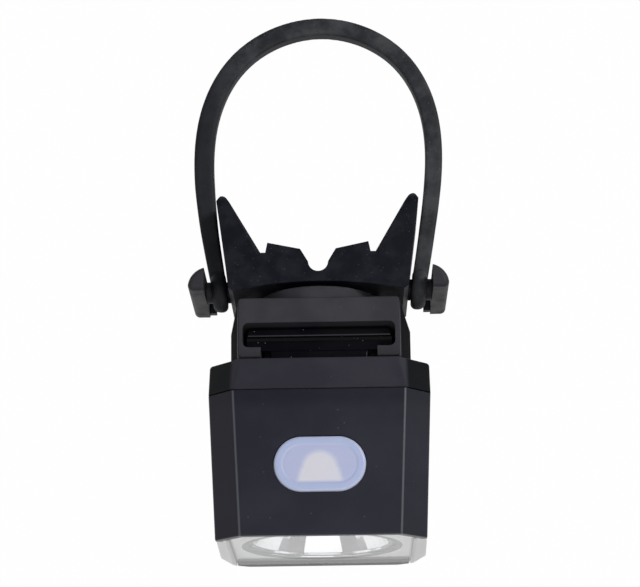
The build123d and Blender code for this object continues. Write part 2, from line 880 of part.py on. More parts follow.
# Reflector: bowl on a flange, turned about the beam axis
beam_plane = Plane((0, 0, beam_height), x_dir=(0, -1, 0), z_dir=(-1, 0, 0))
beam_axis = Axis((0, 0, beam_height), (0, 1, 0))
bowl_middle = sqrt((bowl_radius**2 + bowl_throat**2) / 2)
with BuildPart() as reflector:
    with BuildSketch(at(flange_rear_at)):
        lens_face(flange_gap)
    extrude(amount=ring_step)
    with BuildSketch(beam_plane):
        with BuildLine():
            ThreePointArc(
                (throat_at, bowl_throat),
                (throat_at + bowl_depth / 2, bowl_middle),
                (flange_rear_at, bowl_radius),
            )
            Polyline(
                (flange_rear_at, bowl_radius),
                (flange_rear_at, bowl_radius + bowl_wall),
            )
            ThreePointArc(
                (flange_rear_at, bowl_radius + bowl_wall),
                (throat_at + bowl_depth / 2, bowl_middle + bowl_wall),
                (throat_at, bowl_throat + bowl_wall),
            )
            Line((throat_at, bowl_throat + bowl_wall), (throat_at, bowl_throat))
        make_face()
    revolve(axis=beam_axis)
    with BuildSketch(at(flange_rear_at)):
        with Locations((0, beam_height)):
            Circle(bowl_radius)
    extrude(amount=ring_step, mode=Mode.SUBTRACT)
    with BuildSketch(at(flange_rear_at + ring_step / 2)):
        with Locations((0, beam_height)):
            Circle(ring_radius)
    extrude(amount=ring_step, mode=Mode.SUBTRACT)

reflector.part.label = "reflector"
export_step(reflector.part, "parts/reflector.step")

# Light source on its round board
with BuildPart() as led_board:
    with BuildSketch(at(heat_sink_front_at)):
        with Locations((0, beam_height)):
            Circle(led_board_radius)
    extrude(amount=led_board_thickness)

led_board.part.label = "led_board"
export_step(led_board.part, "parts/led_board.step")

with BuildPart() as led_emitter:
    with BuildSketch(at(led_board_front_at)):
        with Locations((0, beam_height)):
            Rectangle(led_width, led_width)
    extrude(amount=led_base)
    with BuildSketch(beam_plane):
        with BuildLine():
            dome_at = led_board_front_at + led_base
            Polyline((dome_at, led_dome), (dome_at, 0), (dome_at + led_dome, 0))
            RadiusArc((dome_at + led_dome, 0), (dome_at, led_dome), -led_dome)
        make_face()
    revolve(axis=beam_axis)

led_emitter.part.label = "led_emitter"
export_step(led_emitter.part, "parts/led_emitter.step")

# Heat sink plate and its screws
with BuildPart() as heat_sink:
    with BuildSketch(at(heat_sink_rear_at)):
        head_face(front_at, wall + heat_sink_gap)
        with Locations((0, heat_sink_bottom)):
            Rectangle(
                far,
                heat_sink_top - heat_sink_bottom,
                align=(Align.CENTER, Align.MIN),
                mode=Mode.INTERSECT,
            )
    extrude(amount=heat_sink_thickness)
    with BuildSketch(at(heat_sink_rear_at)):
        with Locations(*column_spots):
            Circle(heat_screw_radius + thread_gap)
    extrude(amount=heat_sink_thickness, mode=Mode.SUBTRACT)

heat_sink.part.label = "heat_sink"
export_step(heat_sink.part, "parts/heat_sink.step")

with BuildPart() as heat_sink_screws:
    with BuildSketch(at(heat_sink_front_at)):
        with Locations(*column_spots):
            Circle(heat_head_radius)
    extrude(amount=heat_head_height)
    with BuildSketch(at(heat_sink_front_at)):
        with Locations(*column_spots):
            Circle(heat_screw_radius)
    extrude(amount=-heat_sink_thickness - heat_screw_reach)

heat_sink_screws.part.label = "heat_sink_screws"
export_step(heat_sink_screws.part, "parts/heat_sink_screws.step")

# Battery between its two foam pads
battery_middle = (battery_top + battery_bottom) / 2
battery_half = column_half - column_radius - battery_side_gap
with BuildPart() as battery_cell:
    with BuildSketch(at(battery_rear_at)):
        with Locations((0, battery_middle)):
            RectangleRounded(2 * battery_half, battery_top - battery_bottom, battery_corner)
    extrude(amount=battery_thickness)
    fillet(battery_cell.faces().filter_by(Axis.Y).edges(), radius=battery_edge)

battery_cell.part.label = "battery_cell"
export_step(battery_cell.part, "parts/battery_cell.step")

with BuildPart() as battery_pads:
    for distance in (battery_front_at, cover_rib_front_at):
        with BuildSketch(at(distance)):
            with Locations((0, battery_middle)):
                RectangleRounded(pad_width, pad_height, battery_corner)
        extrude(amount=battery_pad_thickness)

battery_pads.part.label = "battery_pads"
export_step(battery_pads.part, "parts/battery_pads.step")

# Main board on its posts, with screws from below
with BuildPart() as main_board:
    with BuildSketch(Plane.XY.offset(board_bottom)):
        with Locations((0, -board_middle_at)):
            Rectangle(2 * board_half, board_length)
            with GridLocations(2 * post_half, 2 * post_offset, 2, 2):
                Circle(board_screw_radius + thread_gap, mode=Mode.SUBTRACT)
    extrude(amount=board_thickness)

main_board.part.label = "main_board"
export_step(main_board.part, "parts/main_board.step")

with BuildPart() as board_screws:
    with BuildSketch(Plane.XY.offset(board_bottom)):
        with Locations((0, -board_middle_at)):
            with GridLocations(2 * post_half, 2 * post_offset, 2, 2):
                Circle(board_head_radius)
    extrude(amount=-board_head_height)
    with BuildSketch(Plane.XY.offset(board_bottom)):
        with Locations((0, -board_middle_at)):
            with GridLocations(2 * post_half, 2 * post_offset, 2, 2):
                Circle(board_screw_radius)
    extrude(amount=board_thickness + board_screw_reach - screw_tip_gap)

board_screws.part.label = "board_screws"
export_step(board_screws.part, "parts/board_screws.step")

# Parts soldered on the main board
driver_row_at = board_rear_at + driver_margin
with BuildPart() as driver_parts:
    with BuildSketch(Plane.XY.offset(board_top)):
        with Locations((0, -driver_row_at)):
            Rectangle(chip_width, chip_width)
        with Locations((driver_spacing, -driver_row_at)):
            Rectangle(diode_length, diode_width)
    extrude(amount=chip_height)
    with BuildSketch(Plane.XY.offset(board_top)):
        with Locations((-driver_spacing, -driver_row_at)):
            RectangleRounded(coil_width, coil_width, coil_corner)
    extrude(amount=coil_height)

driver_parts.part.label = "driver_parts"
export_step(driver_parts.part, "parts/driver_parts.step")

# Switch under the button, its plunger, and two status lights beside it
with BuildPart() as tact_switch:
    with BuildSketch(Plane.XY.offset(board_top)):
        with Locations((0, -button_at)):
            Rectangle(switch_width, switch_width)
    extrude(amount=switch_height)
    with BuildSketch(Plane.XY.offset(board_top + plunger_floor)):
        with Locations((0, -button_at)):
            Circle(plunger_radius + plunger_gap)
    extrude(amount=switch_height, mode=Mode.SUBTRACT)

tact_switch.part.label = "tact_switch"
export_step(tact_switch.part, "parts/tact_switch.step")

with BuildPart() as switch_plunger:
    plunger_bottom = board_top + plunger_floor + button_travel + press_gap
    with BuildSketch(Plane.XY.offset(plunger_bottom)):
        with Locations((0, -button_at)):
            Circle(plunger_radius)
    extrude(amount=plunger_top - plunger_bottom)

switch_plunger.part.label = "switch_plunger"
export_step(switch_plunger.part, "parts/switch_plunger.step")

with BuildPart() as status_lights:
    with BuildSketch(Plane.XY.offset(board_top)):
        with Locations((0, -button_at)):
            with GridLocations(2 * status_led_offset, 1, 2, 1):
                Rectangle(status_led_width, status_led_width / 2)
    extrude(amount=status_led_height)

status_lights.part.label = "status_lights"
export_step(status_lights.part, "parts/status_lights.step")

# Translucent button with a flange that stops it under the top wall
with BuildPart() as button:
    with BuildSketch(Plane.XY.offset(flange_bottom)):
        with Locations((0, -button_at)):
            SlotOverall(button_width + 2 * button_flange, button_breadth + 2 * button_flange)
    extrude(amount=button_flange_thickness)
    with BuildSketch(Plane.XY.offset(flange_bottom)):
        with Locations((0, -button_at)):
            SlotOverall(button_width, button_breadth)
    extrude(amount=head_top + button_proud - flange_bottom)
    fillet(button.faces().sort_by(Axis.Z)[-1].edges(), radius=button_top_round)

button.part.label = "button"
export_step(button.part, "parts/button.step")

# Charging socket on its own board, and the soft cover over it
with BuildPart() as charge_board:
    with BuildSketch(at(charge_board_rear_at)):
        with Locations((0, inner_bottom)):
            Rectangle(
                2 * charge_board_half,
                charge_board_top - inner_bottom,
                align=(Align.CENTER, Align.MIN),
            )
    extrude(amount=charge_board_thickness)

charge_board.part.label = "charge_board"
export_step(charge_board.part, "parts/charge_board.step")

with BuildPart() as charge_port:
    with BuildSketch(Plane.XY.offset(port_bottom)):
        with Locations((0, -port_middle_at)):
            RectangleRounded(port_width, port_thickness, port_corner)
    extrude(amount=port_depth)
    with BuildSketch(Plane.XY.offset(port_bottom)):
        with Locations((0, -port_middle_at)):
            SlotOverall(port_mouth_width, port_mouth_height)
            Rectangle(port_tongue_width, port_tongue_height, mode=Mode.SUBTRACT)
    extrude(amount=port_mouth_depth, mode=Mode.SUBTRACT)

charge_port.part.label = "charge_port"
export_step(charge_port.part, "parts/charge_port.step")

with BuildPart() as port_cover:
    with BuildSketch(Plane.XY.offset(flap_bottom)):
        with Locations((0, -port_middle_at)):
            RectangleRounded(flap_width, flap_breadth, flap_corner)
    extrude(amount=flap_thickness)
    hinge_edges = port_cover.faces().sort_by(Axis.Y)[-1].edges().filter_by(Axis.X)
    fillet(hinge_edges, radius=flap_round)

port_cover.part.label = "port_cover"
export_step(port_cover.part, "parts/port_cover.step")

# Leads inside the head
charge_lead_half = led_board_radius + lead_radius + 2 * lead_gap
charge_lead_at = charge_board_rear_at + charge_board_thickness + lead_radius
with BuildPart() as charge_leads:
    with BuildSketch(Plane.XY.offset(charge_board_top - charge_lead_drop)):
        with Locations((0, -charge_lead_at)):
            with GridLocations(2 * charge_lead_half, 1, 2, 1):
                Circle(lead_radius)
    extrude(amount=board_bottom - charge_board_top + charge_lead_drop)

charge_leads.part.label = "charge_leads"
export_step(charge_leads.part, "parts/charge_leads.step")

led_lead_at = led_board_front_at + lead_radius
with BuildPart() as led_leads:
    with BuildSketch(Plane.XY.offset(beam_height + led_lead_rise)):
        with Locations((0, -led_lead_at)):
            with GridLocations(2 * led_width, 1, 2, 1):
                Circle(lead_radius)
    extrude(amount=board_bottom - beam_height - led_lead_rise)

led_leads.part.label = "led_leads"
export_step(led_leads.part, "parts/led_leads.step")

battery_lead_at = (battery_rear_at + battery_front_at) / 2
with BuildPart() as battery_leads:
    with BuildSketch(Plane.XY.offset(battery_top)):
        with Locations((0, -battery_lead_at)):
            with GridLocations(battery_lead_spacing, 1, 2, 1):
                Circle(lead_radius)
    extrude(amount=board_bottom - battery_top)

battery_leads.part.label = "battery_leads"
export_step(battery_leads.part, "parts/battery_leads.step")
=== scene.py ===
"""Looks of a compact front bike light: rubber strap, moulded bracket, bevelled head and optics."""

from __future__ import annotations

import logging
import math
from dataclasses import dataclass
from enum import Enum

import bmesh
import bpy
from mathutils import Matrix, Vector


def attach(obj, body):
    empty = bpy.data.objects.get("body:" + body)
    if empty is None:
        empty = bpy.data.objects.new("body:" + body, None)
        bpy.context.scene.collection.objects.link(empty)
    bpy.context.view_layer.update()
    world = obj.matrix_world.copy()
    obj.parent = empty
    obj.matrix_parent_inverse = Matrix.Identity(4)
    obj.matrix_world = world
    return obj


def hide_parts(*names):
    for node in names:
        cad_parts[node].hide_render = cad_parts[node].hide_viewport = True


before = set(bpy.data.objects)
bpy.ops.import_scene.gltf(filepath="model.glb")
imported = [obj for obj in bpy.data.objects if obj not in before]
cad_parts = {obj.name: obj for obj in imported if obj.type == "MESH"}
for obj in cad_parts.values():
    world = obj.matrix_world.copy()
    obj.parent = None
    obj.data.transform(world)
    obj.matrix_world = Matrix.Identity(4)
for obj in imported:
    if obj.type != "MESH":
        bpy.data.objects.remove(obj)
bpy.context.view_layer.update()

log = logging.getLogger("bike_light")
MM = 0.001
Colour = tuple[float, float, float]
Place = tuple[float, float, float]
Pair = tuple[float, float]
Socket = bpy.types.NodeSocket
BMesh = bmesh.types.BMesh
BMVert = bmesh.types.BMVert
BMEdge = bmesh.types.BMEdge
RISING: Pair = (0.0, 1.0)
FALLING: Pair = (1.0, 0.0)
QUARTER = math.radians(90)


class Body(Enum):
    """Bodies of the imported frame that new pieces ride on."""

    BAND = "band"
    HEAD = "lamp_head"


class NodeKit:
    """Adds nodes to one shader tree. A method that makes a value returns its socket."""

    def __init__(self, tree: bpy.types.NodeTree) -> None:
        """Takes a tree, whose Principled node is the shader if it has one."""
        self.tree = tree
        self.shader = tree.nodes.get("Principled BSDF")

    def feed(self, node: bpy.types.Node, inputs: dict) -> bpy.types.Node:
        """Links or sets inputs of a node.

        Args:
            node: Node that is fed.
            inputs: Socket or plain value of each input, by its name or number.

        Returns:
            The node.
        """
        for key, value in inputs.items():
            socket = node.inputs[key]
            if isinstance(value, Socket):
                self.tree.links.new(value, socket)
            else:
                socket.default_value = (*value, 1.0) if socket.type == "RGBA" else value
        return node

    def add(self, kind: str, inputs: dict) -> bpy.types.Node:
        """Adds a node of a kind, and feeds its inputs."""
        return self.feed(self.tree.nodes.new(kind), inputs)

    def noise(self, vector: Socket, scale: Socket, detail: float, rough: float = 0.5) -> Socket:
        """Adds a noise texture.

        Args:
            vector: Coordinates that it reads.
            scale: Cells per metre.
            detail: Octaves of the noise.
            rough: Weight of the finer octaves.

        Returns:
            The factor of the texture.
        """
        inputs = {"Vector": vector, "Scale": scale, "Detail": detail, "Roughness": rough}
        return self.add("ShaderNodeTexNoise", inputs).outputs["Fac"]

    def spread(self, value: Socket, source: Pair, target: Pair = RISING) -> Socket:
        """Maps a value from one range to another, and clamps it.

        Args:
            value: Value that is mapped.
            source: Range that the value is taken from.
            target: Range that it is mapped to.

        Returns:
            The mapped value.
        """
        labels = ("Value", "From Min", "From Max", "To Min", "To Max")
        inputs = dict(zip(labels, (value, *source, *target)))
        return self.add("ShaderNodeMapRange", inputs).outputs["Result"]

    def join(self, operation: str, first: Socket, second: Socket | float = 0.0) -> Socket:
        """Joins two values with a math node.

        Args:
            operation: Operation of the math node.
            first: First value.
            second: Second value. An operation on one value leaves it out.

        Returns:
            The result.
        """
        node = self.tree.nodes.new("ShaderNodeMath")
        node.operation = operation
        return self.feed(node, {0: first, 1: second}).outputs[0]

    def distance(self, first: Socket, second: Socket, place: Pair = (0.0, 0.0)) -> Socket:
        """Distance of two coordinates from a place.

        Args:
            first: First coordinate.
            second: Second coordinate.
            place: Place that the distance is measured from.

        Returns:
            The distance.
        """
        squares = []
        for value, middle in zip((first, second), place):
            off = self.join("SUBTRACT", value, middle)
            squares.append(self.join("MULTIPLY", off, off))
        return self.join("SQRT", self.join("ADD", *squares))

    def mix(self, mask: Socket, first: Colour | Socket, second: Colour | Socket) -> Socket:
        """Mixes two colours by a mask.

        Args:
            mask: 0 gives the first colour, 1 the second.
            first: First colour.
            second: Second colour.

        Returns:
            The mixed colour.
        """
        node = self.tree.nodes.new("ShaderNodeMix")
        node.data_type = "RGBA"
        return self.feed(node, {0: mask, 6: first, 7: second}).outputs[2]

    def bump(self, height: Socket) -> Socket:
        """Turns a height in metres into a normal."""
        inputs = {"Strength": 1.0, "Distance": 1.0, "Height": height}
        return self.add("ShaderNodeBump", inputs).outputs["Normal"]


class SharedEffects:
    """Node groups that several finishes use, each built once."""

    fine_scale = 3.1
    fine_weight = 0.4
    octaves = 5.0
    patch_roughness = 0.6
    speck_edge = (0.12, 0.28)

    def __init__(self) -> None:
        """Builds the groups."""
        self.grain = self.build_grain()
        self.patches = self.build_patches()
        self.specks = self.build_specks()

    def start(
        self, name: str, inputs: dict[str, float], output: str
    ) -> tuple[NodeKit, bpy.types.NodeOutputs, bpy.types.Node]:
        """Starts a group with a vector input and one float output.

        Args:
            name: Name of the group.
            inputs: Default of each float input.
            output: Name of the float output.

        Returns:
            The group's node kit, the sockets of its inputs, and its output node.
        """
        group = bpy.data.node_groups.new(name, "ShaderNodeTree")
        face = group.interface
        face.new_socket("Vector", in_out="INPUT", socket_type="NodeSocketVector")
        for label, value in inputs.items():
            socket = face.new_socket(label, in_out="INPUT", socket_type="NodeSocketFloat")
            socket.default_value = value
        face.new_socket(output, in_out="OUTPUT", socket_type="NodeSocketFloat")
        kit = NodeKit(group)
        return kit, kit.add("NodeGroupInput", {}).outputs, kit.add("NodeGroupOutput", {})

    def build_grain(self) -> bpy.types.NodeTree:
        """Fine moulded grain: the sum of two noises, as a height in metres.

        Returns:
            The group.
        """
        sizes = {"Scale": 3000.0, "Depth": 0.00001}
        kit, given, end = self.start("moulded_grain", sizes, "Height")
        coarse = kit.noise(given["Vector"], given["Scale"], 2.0)
        finer = kit.join("MULTIPLY", given["Scale"], self.fine_scale)
        fine = kit.noise(given["Vector"], finer, 1.0)
        height = kit.join("ADD", coarse, kit.join("MULTIPLY", fine, self.fine_weight))
        kit.feed(end, {"Height": kit.join("MULTIPLY", height, given["Depth"])})
        return kit.tree

    def build_patches(self) -> bpy.types.NodeTree:
        """Soft uneven patches, as a mask from 0 to 1.

        Returns:
            The group.
        """
        sizes = {"Scale": 100.0, "Low": 0.4, "High": 0.65}
        kit, given, end = self.start("soft_patches", sizes, "Mask")
        value = kit.noise(given["Vector"], given["Scale"], self.octaves, self.patch_roughness)
        limits = {"Value": value, "From Min": given["Low"], "From Max": given["High"]}
        node = kit.add("ShaderNodeMapRange", limits)
        node.interpolation_type = "SMOOTHSTEP"
        kit.feed(end, {"Mask": node.outputs["Result"]})
        return kit.tree

    def build_specks(self) -> bpy.types.NodeTree:
        """Sparse specks, as a mask from 0 to 1; on the glossy rail they are painted glints.

        Returns:
            The group.
        """
        sizes = {"Scale": 1500.0, "Share": 0.1}
        kit, given, end = self.start("dust_and_glint_specks", sizes, "Mask")
        place = {"Vector": given["Vector"], "Scale": given["Scale"]}
        cells = kit.add("ShaderNodeTexVoronoi", place).outputs
        near = kit.spread(cells["Distance"], self.speck_edge, FALLING)
        split = kit.add("ShaderNodeSeparateColor", {"Color": cells["Color"]})
        chosen = kit.join("LESS_THAN", split.outputs["Red"], given["Share"])
        kit.feed(end, {"Mask": kit.join("MULTIPLY", near, chosen)})
        return kit.tree


class MaterialKit(NodeKit):
    """Node kit of a material, with its Object coordinates and the shared effects."""

    def __init__(self, material: bpy.types.Material, effects: SharedEffects) -> None:
        """Takes a material.

        Args:
            material: Material that gets the nodes.
            effects: Shared node groups.
        """
        super().__init__(material.node_tree)
        self.effects = effects
        self.vector = self.add("ShaderNodeTexCoord", {}).outputs["Object"]

    def place(self, group: bpy.types.NodeTree, values: dict[str, float]) -> Socket:
        """Puts a shared group into the material with its own values.

        Args:
            group: Shared group.
            values: Value of each named input.

        Returns:
            The group's only output.
        """
        node = self.tree.nodes.new("ShaderNodeGroup")
        node.node_tree = group
        return self.feed(node, {"Vector": self.vector, **values}).outputs[0]

    def patches(self, scale: float, limits: Pair) -> Socket:
        """Puts the soft patches into the material.

        Args:
            scale: Patches per metre.
            limits: Noise where a patch begins and where it is full.

        Returns:
            The mask of the patches.
        """
        low, high = limits
        return self.place(self.effects.patches, {"Scale": scale, "Low": low, "High": high})

    def millimetres(self, centre: Place = (0.0, 0.0, 0.0)) -> tuple[Socket, Socket, Socket]:
        """Splits the coordinates about a centre into X, Y and Z in millimetres.

        Args:
            centre: Centre in millimetres.

        Returns:
            The three values.
        """
        origin = tuple(-value for value in centre)
        inputs = {"Vector": self.vector, "Location": origin, "Scale": (1 / MM,) * 3}
        shift = self.add("ShaderNodeMapping", inputs)
        split = self.add("ShaderNodeSeparateXYZ", {0: shift.outputs["Vector"]}).outputs
        return split["X"], split["Y"], split["Z"]


@dataclass(frozen=True)
class Finish:
    """A look with a name. Sizes of finishes are in millimetres, patch scales are per metre."""

    name: str
    colour: Colour

    def make(self, effects: SharedEffects) -> bpy.types.Material:
        """Builds the material.

        Args:
            effects: Shared node groups.

        Returns:
            The material.
        """
        material = bpy.data.materials.new(self.name)
        material.use_nodes = True
        kit = MaterialKit(material, effects)
        kit.feed(kit.shader, self.inputs(kit))
        return material

    def inputs(self, kit: MaterialKit) -> dict:
        """Inputs of the shader, which each kind of finish gives.

        Args:
            kit: Node kit of the material.

        Returns:
            Socket or plain value of each input, by its name.
        """
        raise NotImplementedError


@dataclass(frozen=True)
class MouldedFinish(Finish):
    """Moulded plastic or rubber, with fine grain, soft patches and dusty specks, which are painted
    glints on the rail.

    Four zones can be added: a band of painted shade behind a place along the part, sides with a
    lighter dusting on the bracket and painted shade elsewhere, a fade towards the left, and a
    paler ridge line along both upper edges that is a painted highlight, given by its distance
    from the middle and how much that grows along the part.
    """

    patch_colour: Colour
    roughness: Pair
    grain_size: float
    grain_depth: float
    patch_size: float = 12.0
    patch_range: Pair = (0.4, 0.65)
    dust_and_glint_colour: Colour = (0.06, 0.06, 0.07)
    dust_and_glint_share: float = 0.0
    dust_and_glint_size: float = 0.5
    specular: float = 0.5
    coat: float = 0.0
    band: Pair | None = None
    band_shade_colour: Colour = (0.0, 0.0, 0.0)
    band_shade_share: float = 0.85
    side: Pair | None = None
    side_dust_and_shade_colour: Colour = (0.0, 0.0, 0.0)
    side_roughness: float = 0.0
    fade: Pair | None = None
    fade_colour: Colour = (0.0, 0.0, 0.0)
    fade_share: float = 0.8
    ridge: Pair | None = None
    ridge_width: float = 0.3
    ridge_heights: Pair = (5.0, 8.0)
    ridge_highlight_colour: Colour = (0.0, 0.0, 0.0)

    def inputs(self, kit: MaterialKit) -> dict:
        """Patchy colour and gloss, specks, zones and grain; on the rail the specks are painted
        glints.

        Args:
            kit: Node kit of the material.

        Returns:
            The shader's inputs.
        """
        patches = kit.patches(1 / (self.patch_size * MM), self.patch_range)
        colour = kit.mix(patches, self.colour, self.patch_colour)
        gloss = kit.spread(patches, RISING, self.roughness)
        # Pale specks: dusty specks on most finishes, painted glints of light on the glossy rail.
        if self.dust_and_glint_share:
            values = {"Scale": 1 / (self.dust_and_glint_size * MM), "Share": self.dust_and_glint_share}
            dust_and_glints = kit.place(kit.effects.specks, values)
            colour = kit.mix(dust_and_glints, colour, self.dust_and_glint_colour)
        if self.band or self.side or self.fade or self.ridge:
            colour, gloss = self.add_zones(kit, colour, gloss)
        values = {"Scale": 1 / (self.grain_size * MM), "Depth": self.grain_depth * MM}
        grain = kit.place(kit.effects.grain, values)
        return {
            "Base Color": colour,
            "Roughness": gloss,
            "Normal": kit.bump(grain),
            "Specular IOR Level": self.specular,
            "Coat Weight": self.coat,
        }

    def add_zones(self, kit: MaterialKit, colour: Socket, gloss: Socket) -> tuple[Socket, Socket]:
        """Adds the zones that the finish has: painted shade in the band and on most sides, a
        lighter dusting on the bracket's sides, and a painted highlight on the ridge.

        Args:
            kit: Node kit of the material.
            colour: Colour without the zones.
            gloss: Roughness without the zones.

        Returns:
            Colour and roughness with the zones.
        """
        across, along, height = kit.millimetres()
        side = kit.join("ABSOLUTE", across)
        # The band is painted shade: a darker colour behind a place along the part.
        if self.band:
            behind = kit.spread(along, self.band, (0.0, self.band_shade_share))
            colour = kit.mix(behind, colour, self.band_shade_colour)
        # Sides: painted shade on the receiver, cover and shade ring, a lighter dusting on the
        # bracket.
        if self.side:
            side_dust_and_shade_mask = kit.spread(side, self.side)
            colour = kit.mix(side_dust_and_shade_mask, colour, self.side_dust_and_shade_colour)
            rough = kit.join("MULTIPLY", side_dust_and_shade_mask, self.side_roughness)
            gloss = kit.join("MAXIMUM", gloss, rough)
        if self.fade:
            left = kit.spread(across, self.fade, (self.fade_share, 0.0))
            colour = kit.mix(left, colour, self.fade_colour)
        # Ridge: a painted highlight, paler lines along both upper side edges.
        if self.ridge:
            middle, gain = self.ridge
            edge = kit.join("ADD", kit.join("MULTIPLY", along, gain), middle)
            off = kit.join("ABSOLUTE", kit.join("SUBTRACT", side, edge))
            line = kit.spread(off, (self.ridge_width / 3, self.ridge_width), FALLING)
            share = kit.join("MULTIPLY", line, kit.spread(height, self.ridge_heights))
            colour = kit.mix(share, colour, self.ridge_highlight_colour)
        return colour, gloss


@dataclass(frozen=True)
class EvenFinish(Finish):
    """Metal of one colour, or clear plastic, with slightly uneven gloss."""

    roughness: Pair
    patch_scale: float = 400.0
    patch_range: Pair = (0.3, 0.7)
    metal: float = 1.0
    clear: float = 0.0
    ior: float = 1.5

    def inputs(self, kit: MaterialKit) -> dict:
        """Plain body with patchy gloss.

        Args:
            kit: Node kit of the material.

        Returns:
            The shader's inputs.
        """
        patches = kit.patches(self.patch_scale, self.patch_range)
        return {
            "Base Color": self.colour,
            "Roughness": kit.spread(patches, RISING, self.roughness),
            "Metallic": self.metal,
            "Transmission Weight": self.clear,
            "IOR": self.ior,
        }


@dataclass(frozen=True)
class FrameFinish(Finish):
    """Milky plate behind the lens, with streaks and a seam on both sides."""

    streak: Colour
    line: Colour
    seam_half: float = 17.6
    seam_width: float = 0.2
    roughness: float = 0.3
    patch_scale: float = 900.0
    patch_range: Pair = (0.3, 0.8)

    def inputs(self, kit: MaterialKit) -> dict:
        """Streaky colour and the seams.

        Args:
            kit: Node kit of the material.

        Returns:
            The shader's inputs.
        """
        across, _, _ = kit.millimetres()
        side = kit.join("ABSOLUTE", across)
        off = kit.join("ABSOLUTE", kit.join("SUBTRACT", side, self.seam_half))
        seam = kit.spread(off, (self.seam_width / 2, self.seam_width), FALLING)
        streaks = kit.patches(self.patch_scale, self.patch_range)
        colour = kit.mix(streaks, self.colour, self.streak)
        return {"Base Color": kit.mix(seam, colour, self.line), "Roughness": self.roughness}


@dataclass(frozen=True)
class BowlFinish(Finish):
    """Bright faceted coating with painted reflections: colour tints and darker specks on both
    sides, a dark reddish throat and a pale warm glow.
    """

    shade: Colour
    throat: Colour
    glow: Colour
    beam_height: float = 1.2
    cell: float = 1.5
    bump_depth: float = 0.10
    tint: float = 0.45
    fleck_share: float = 0.5
    sparkle_from: Pair = (5.5, 8.0)
    sparkle_reach: Pair = (11.0, 12.6)
    throat_reach: Pair = (4.2, 6.2)
    glow_reach: Pair = (1.6, 2.6)
    roughness: float = 0.08
    patch_scale: float = 320.0
    patch_range: Pair = (0.35, 0.6)

    def inputs(self, kit: MaterialKit) -> dict:
        """Painted reflections: colour tints and darker specks among dented cells in the sparkling
        zone, and the painted throat with its painted glow.

        Args:
            kit: Node kit of the material.

        Returns:
            The shader's inputs.
        """
        across, _, height = kit.millimetres((0.0, 0.0, self.beam_height))
        radius = kit.distance(across, height)
        side = kit.join("ABSOLUTE", across)
        place = {"Scale": 1 / (self.cell * MM), "Vector": kit.vector}
        cells = kit.add("ShaderNodeTexVoronoi", place).outputs
        patches = kit.patches(self.patch_scale, self.patch_range)
        # Per-cell colour tints are painted reflections in the facets.
        reflection_tints = kit.mix(kit.join("MULTIPLY", patches, self.tint), self.colour, cells["Color"])
        outer = kit.spread(side, self.sparkle_from)
        inner = kit.spread(radius, self.sparkle_reach, FALLING)
        zone = kit.join("MULTIPLY", outer, inner)
        colour = kit.mix(zone, self.colour, reflection_tints)
        # Darker specks in the zone are painted dark reflections.
        dark_reflection_flecks = kit.join("MULTIPLY", zone, kit.join("MULTIPLY", patches, self.fleck_share))
        colour = kit.mix(dark_reflection_flecks, colour, self.shade)
        # The dark reddish throat is a painted reflection.
        near = kit.spread(radius, self.throat_reach, FALLING)
        colour = kit.mix(near, colour, self.throat)
        # The pale warm glow at the throat's middle is painted light, not a lamp.
        middle = kit.spread(side, self.glow_reach, FALLING)
        colour = kit.mix(kit.join("MULTIPLY", middle, near), colour, self.glow)
        dents = kit.join("MULTIPLY", cells["Distance"], self.bump_depth * MM)
        return {
            "Base Color": colour,
            "Metallic": 1.0,
            "Roughness": self.roughness,
            "Normal": kit.bump(kit.join("MULTIPLY", dents, zone)),
        }


@dataclass(frozen=True)
class ButtonFinish(Finish):
    """Milky blue silicone with a sunk field over a paler, dome-shaped light guide."""

    field: Colour
    guide: Colour
    rim: Colour
    centre: Pair
    half_run: float = 3.5
    field_edge: Pair = (3.6, 4.0)
    field_share: float = 0.75
    field_depth: float = 0.12
    rim_edge: Pair = (4.9, 5.3)
    rim_share: float = 0.8
    dome_centre: Pair = (0.0, -1.0)
    dome_edge: Pair = (2.85, 3.95)
    skirt_edge: Pair = (3.85, 4.85)
    skirt_top: Pair = (-0.9, -0.3)
    guide_base: float = -3.4
    guide_lean: float = 0.28
    guide_bottom: Pair = (-3.8, -3.1)
    roughness: float = 0.35
    patch_share: float = 0.35
    patch_scale: float = 500.0
    patch_range: Pair = (0.3, 0.75)
    subsurface: float = 0.15
    subsurface_size: float = 1.0

    def inputs(self, kit: MaterialKit) -> dict:
        """Field, rim and light guide, drawn from the distances to the button's middle.

        Args:
            kit: Node kit of the material.

        Returns:
            The shader's inputs.
        """
        across, along, _ = kit.millimetres((*self.centre, 0.0))
        side = kit.join("ABSOLUTE", across)
        beyond = kit.join("MAXIMUM", kit.join("SUBTRACT", side, self.half_run))
        reach = kit.distance(beyond, along)
        field = kit.spread(reach, self.field_edge, (self.field_share, 0.0))
        rim = kit.spread(reach, self.rim_edge, (0.0, self.rim_share))
        centred = kit.distance(across, along, self.dome_centre)
        dome = kit.spread(centred, self.dome_edge, FALLING)
        rise = kit.join("SUBTRACT", along, self.guide_base)
        leaned = kit.join("ADD", side, kit.join("MULTIPLY", rise, self.guide_lean))
        skirt = kit.spread(leaned, self.skirt_edge, FALLING)
        skirt = kit.join("MULTIPLY", skirt, kit.spread(along, self.skirt_top, FALLING))
        above = kit.spread(along, self.guide_bottom)
        guide = kit.join("MULTIPLY", kit.join("MAXIMUM", dome, skirt), above)
        patches = kit.patches(self.patch_scale, self.patch_range)
        colour = kit.mix(field, self.colour, self.field)
        colour = kit.mix(rim, colour, self.rim)
        colour = kit.mix(kit.join("MULTIPLY", patches, self.patch_share), colour, self.colour)
        return {
            "Base Color": kit.mix(guide, colour, self.guide),
            "Roughness": self.roughness,
            "Subsurface Weight": self.subsurface,
            "Subsurface Scale": self.subsurface_size * MM,
            "Normal": kit.bump(kit.join("MULTIPLY", field, -self.field_depth * MM)),
        }


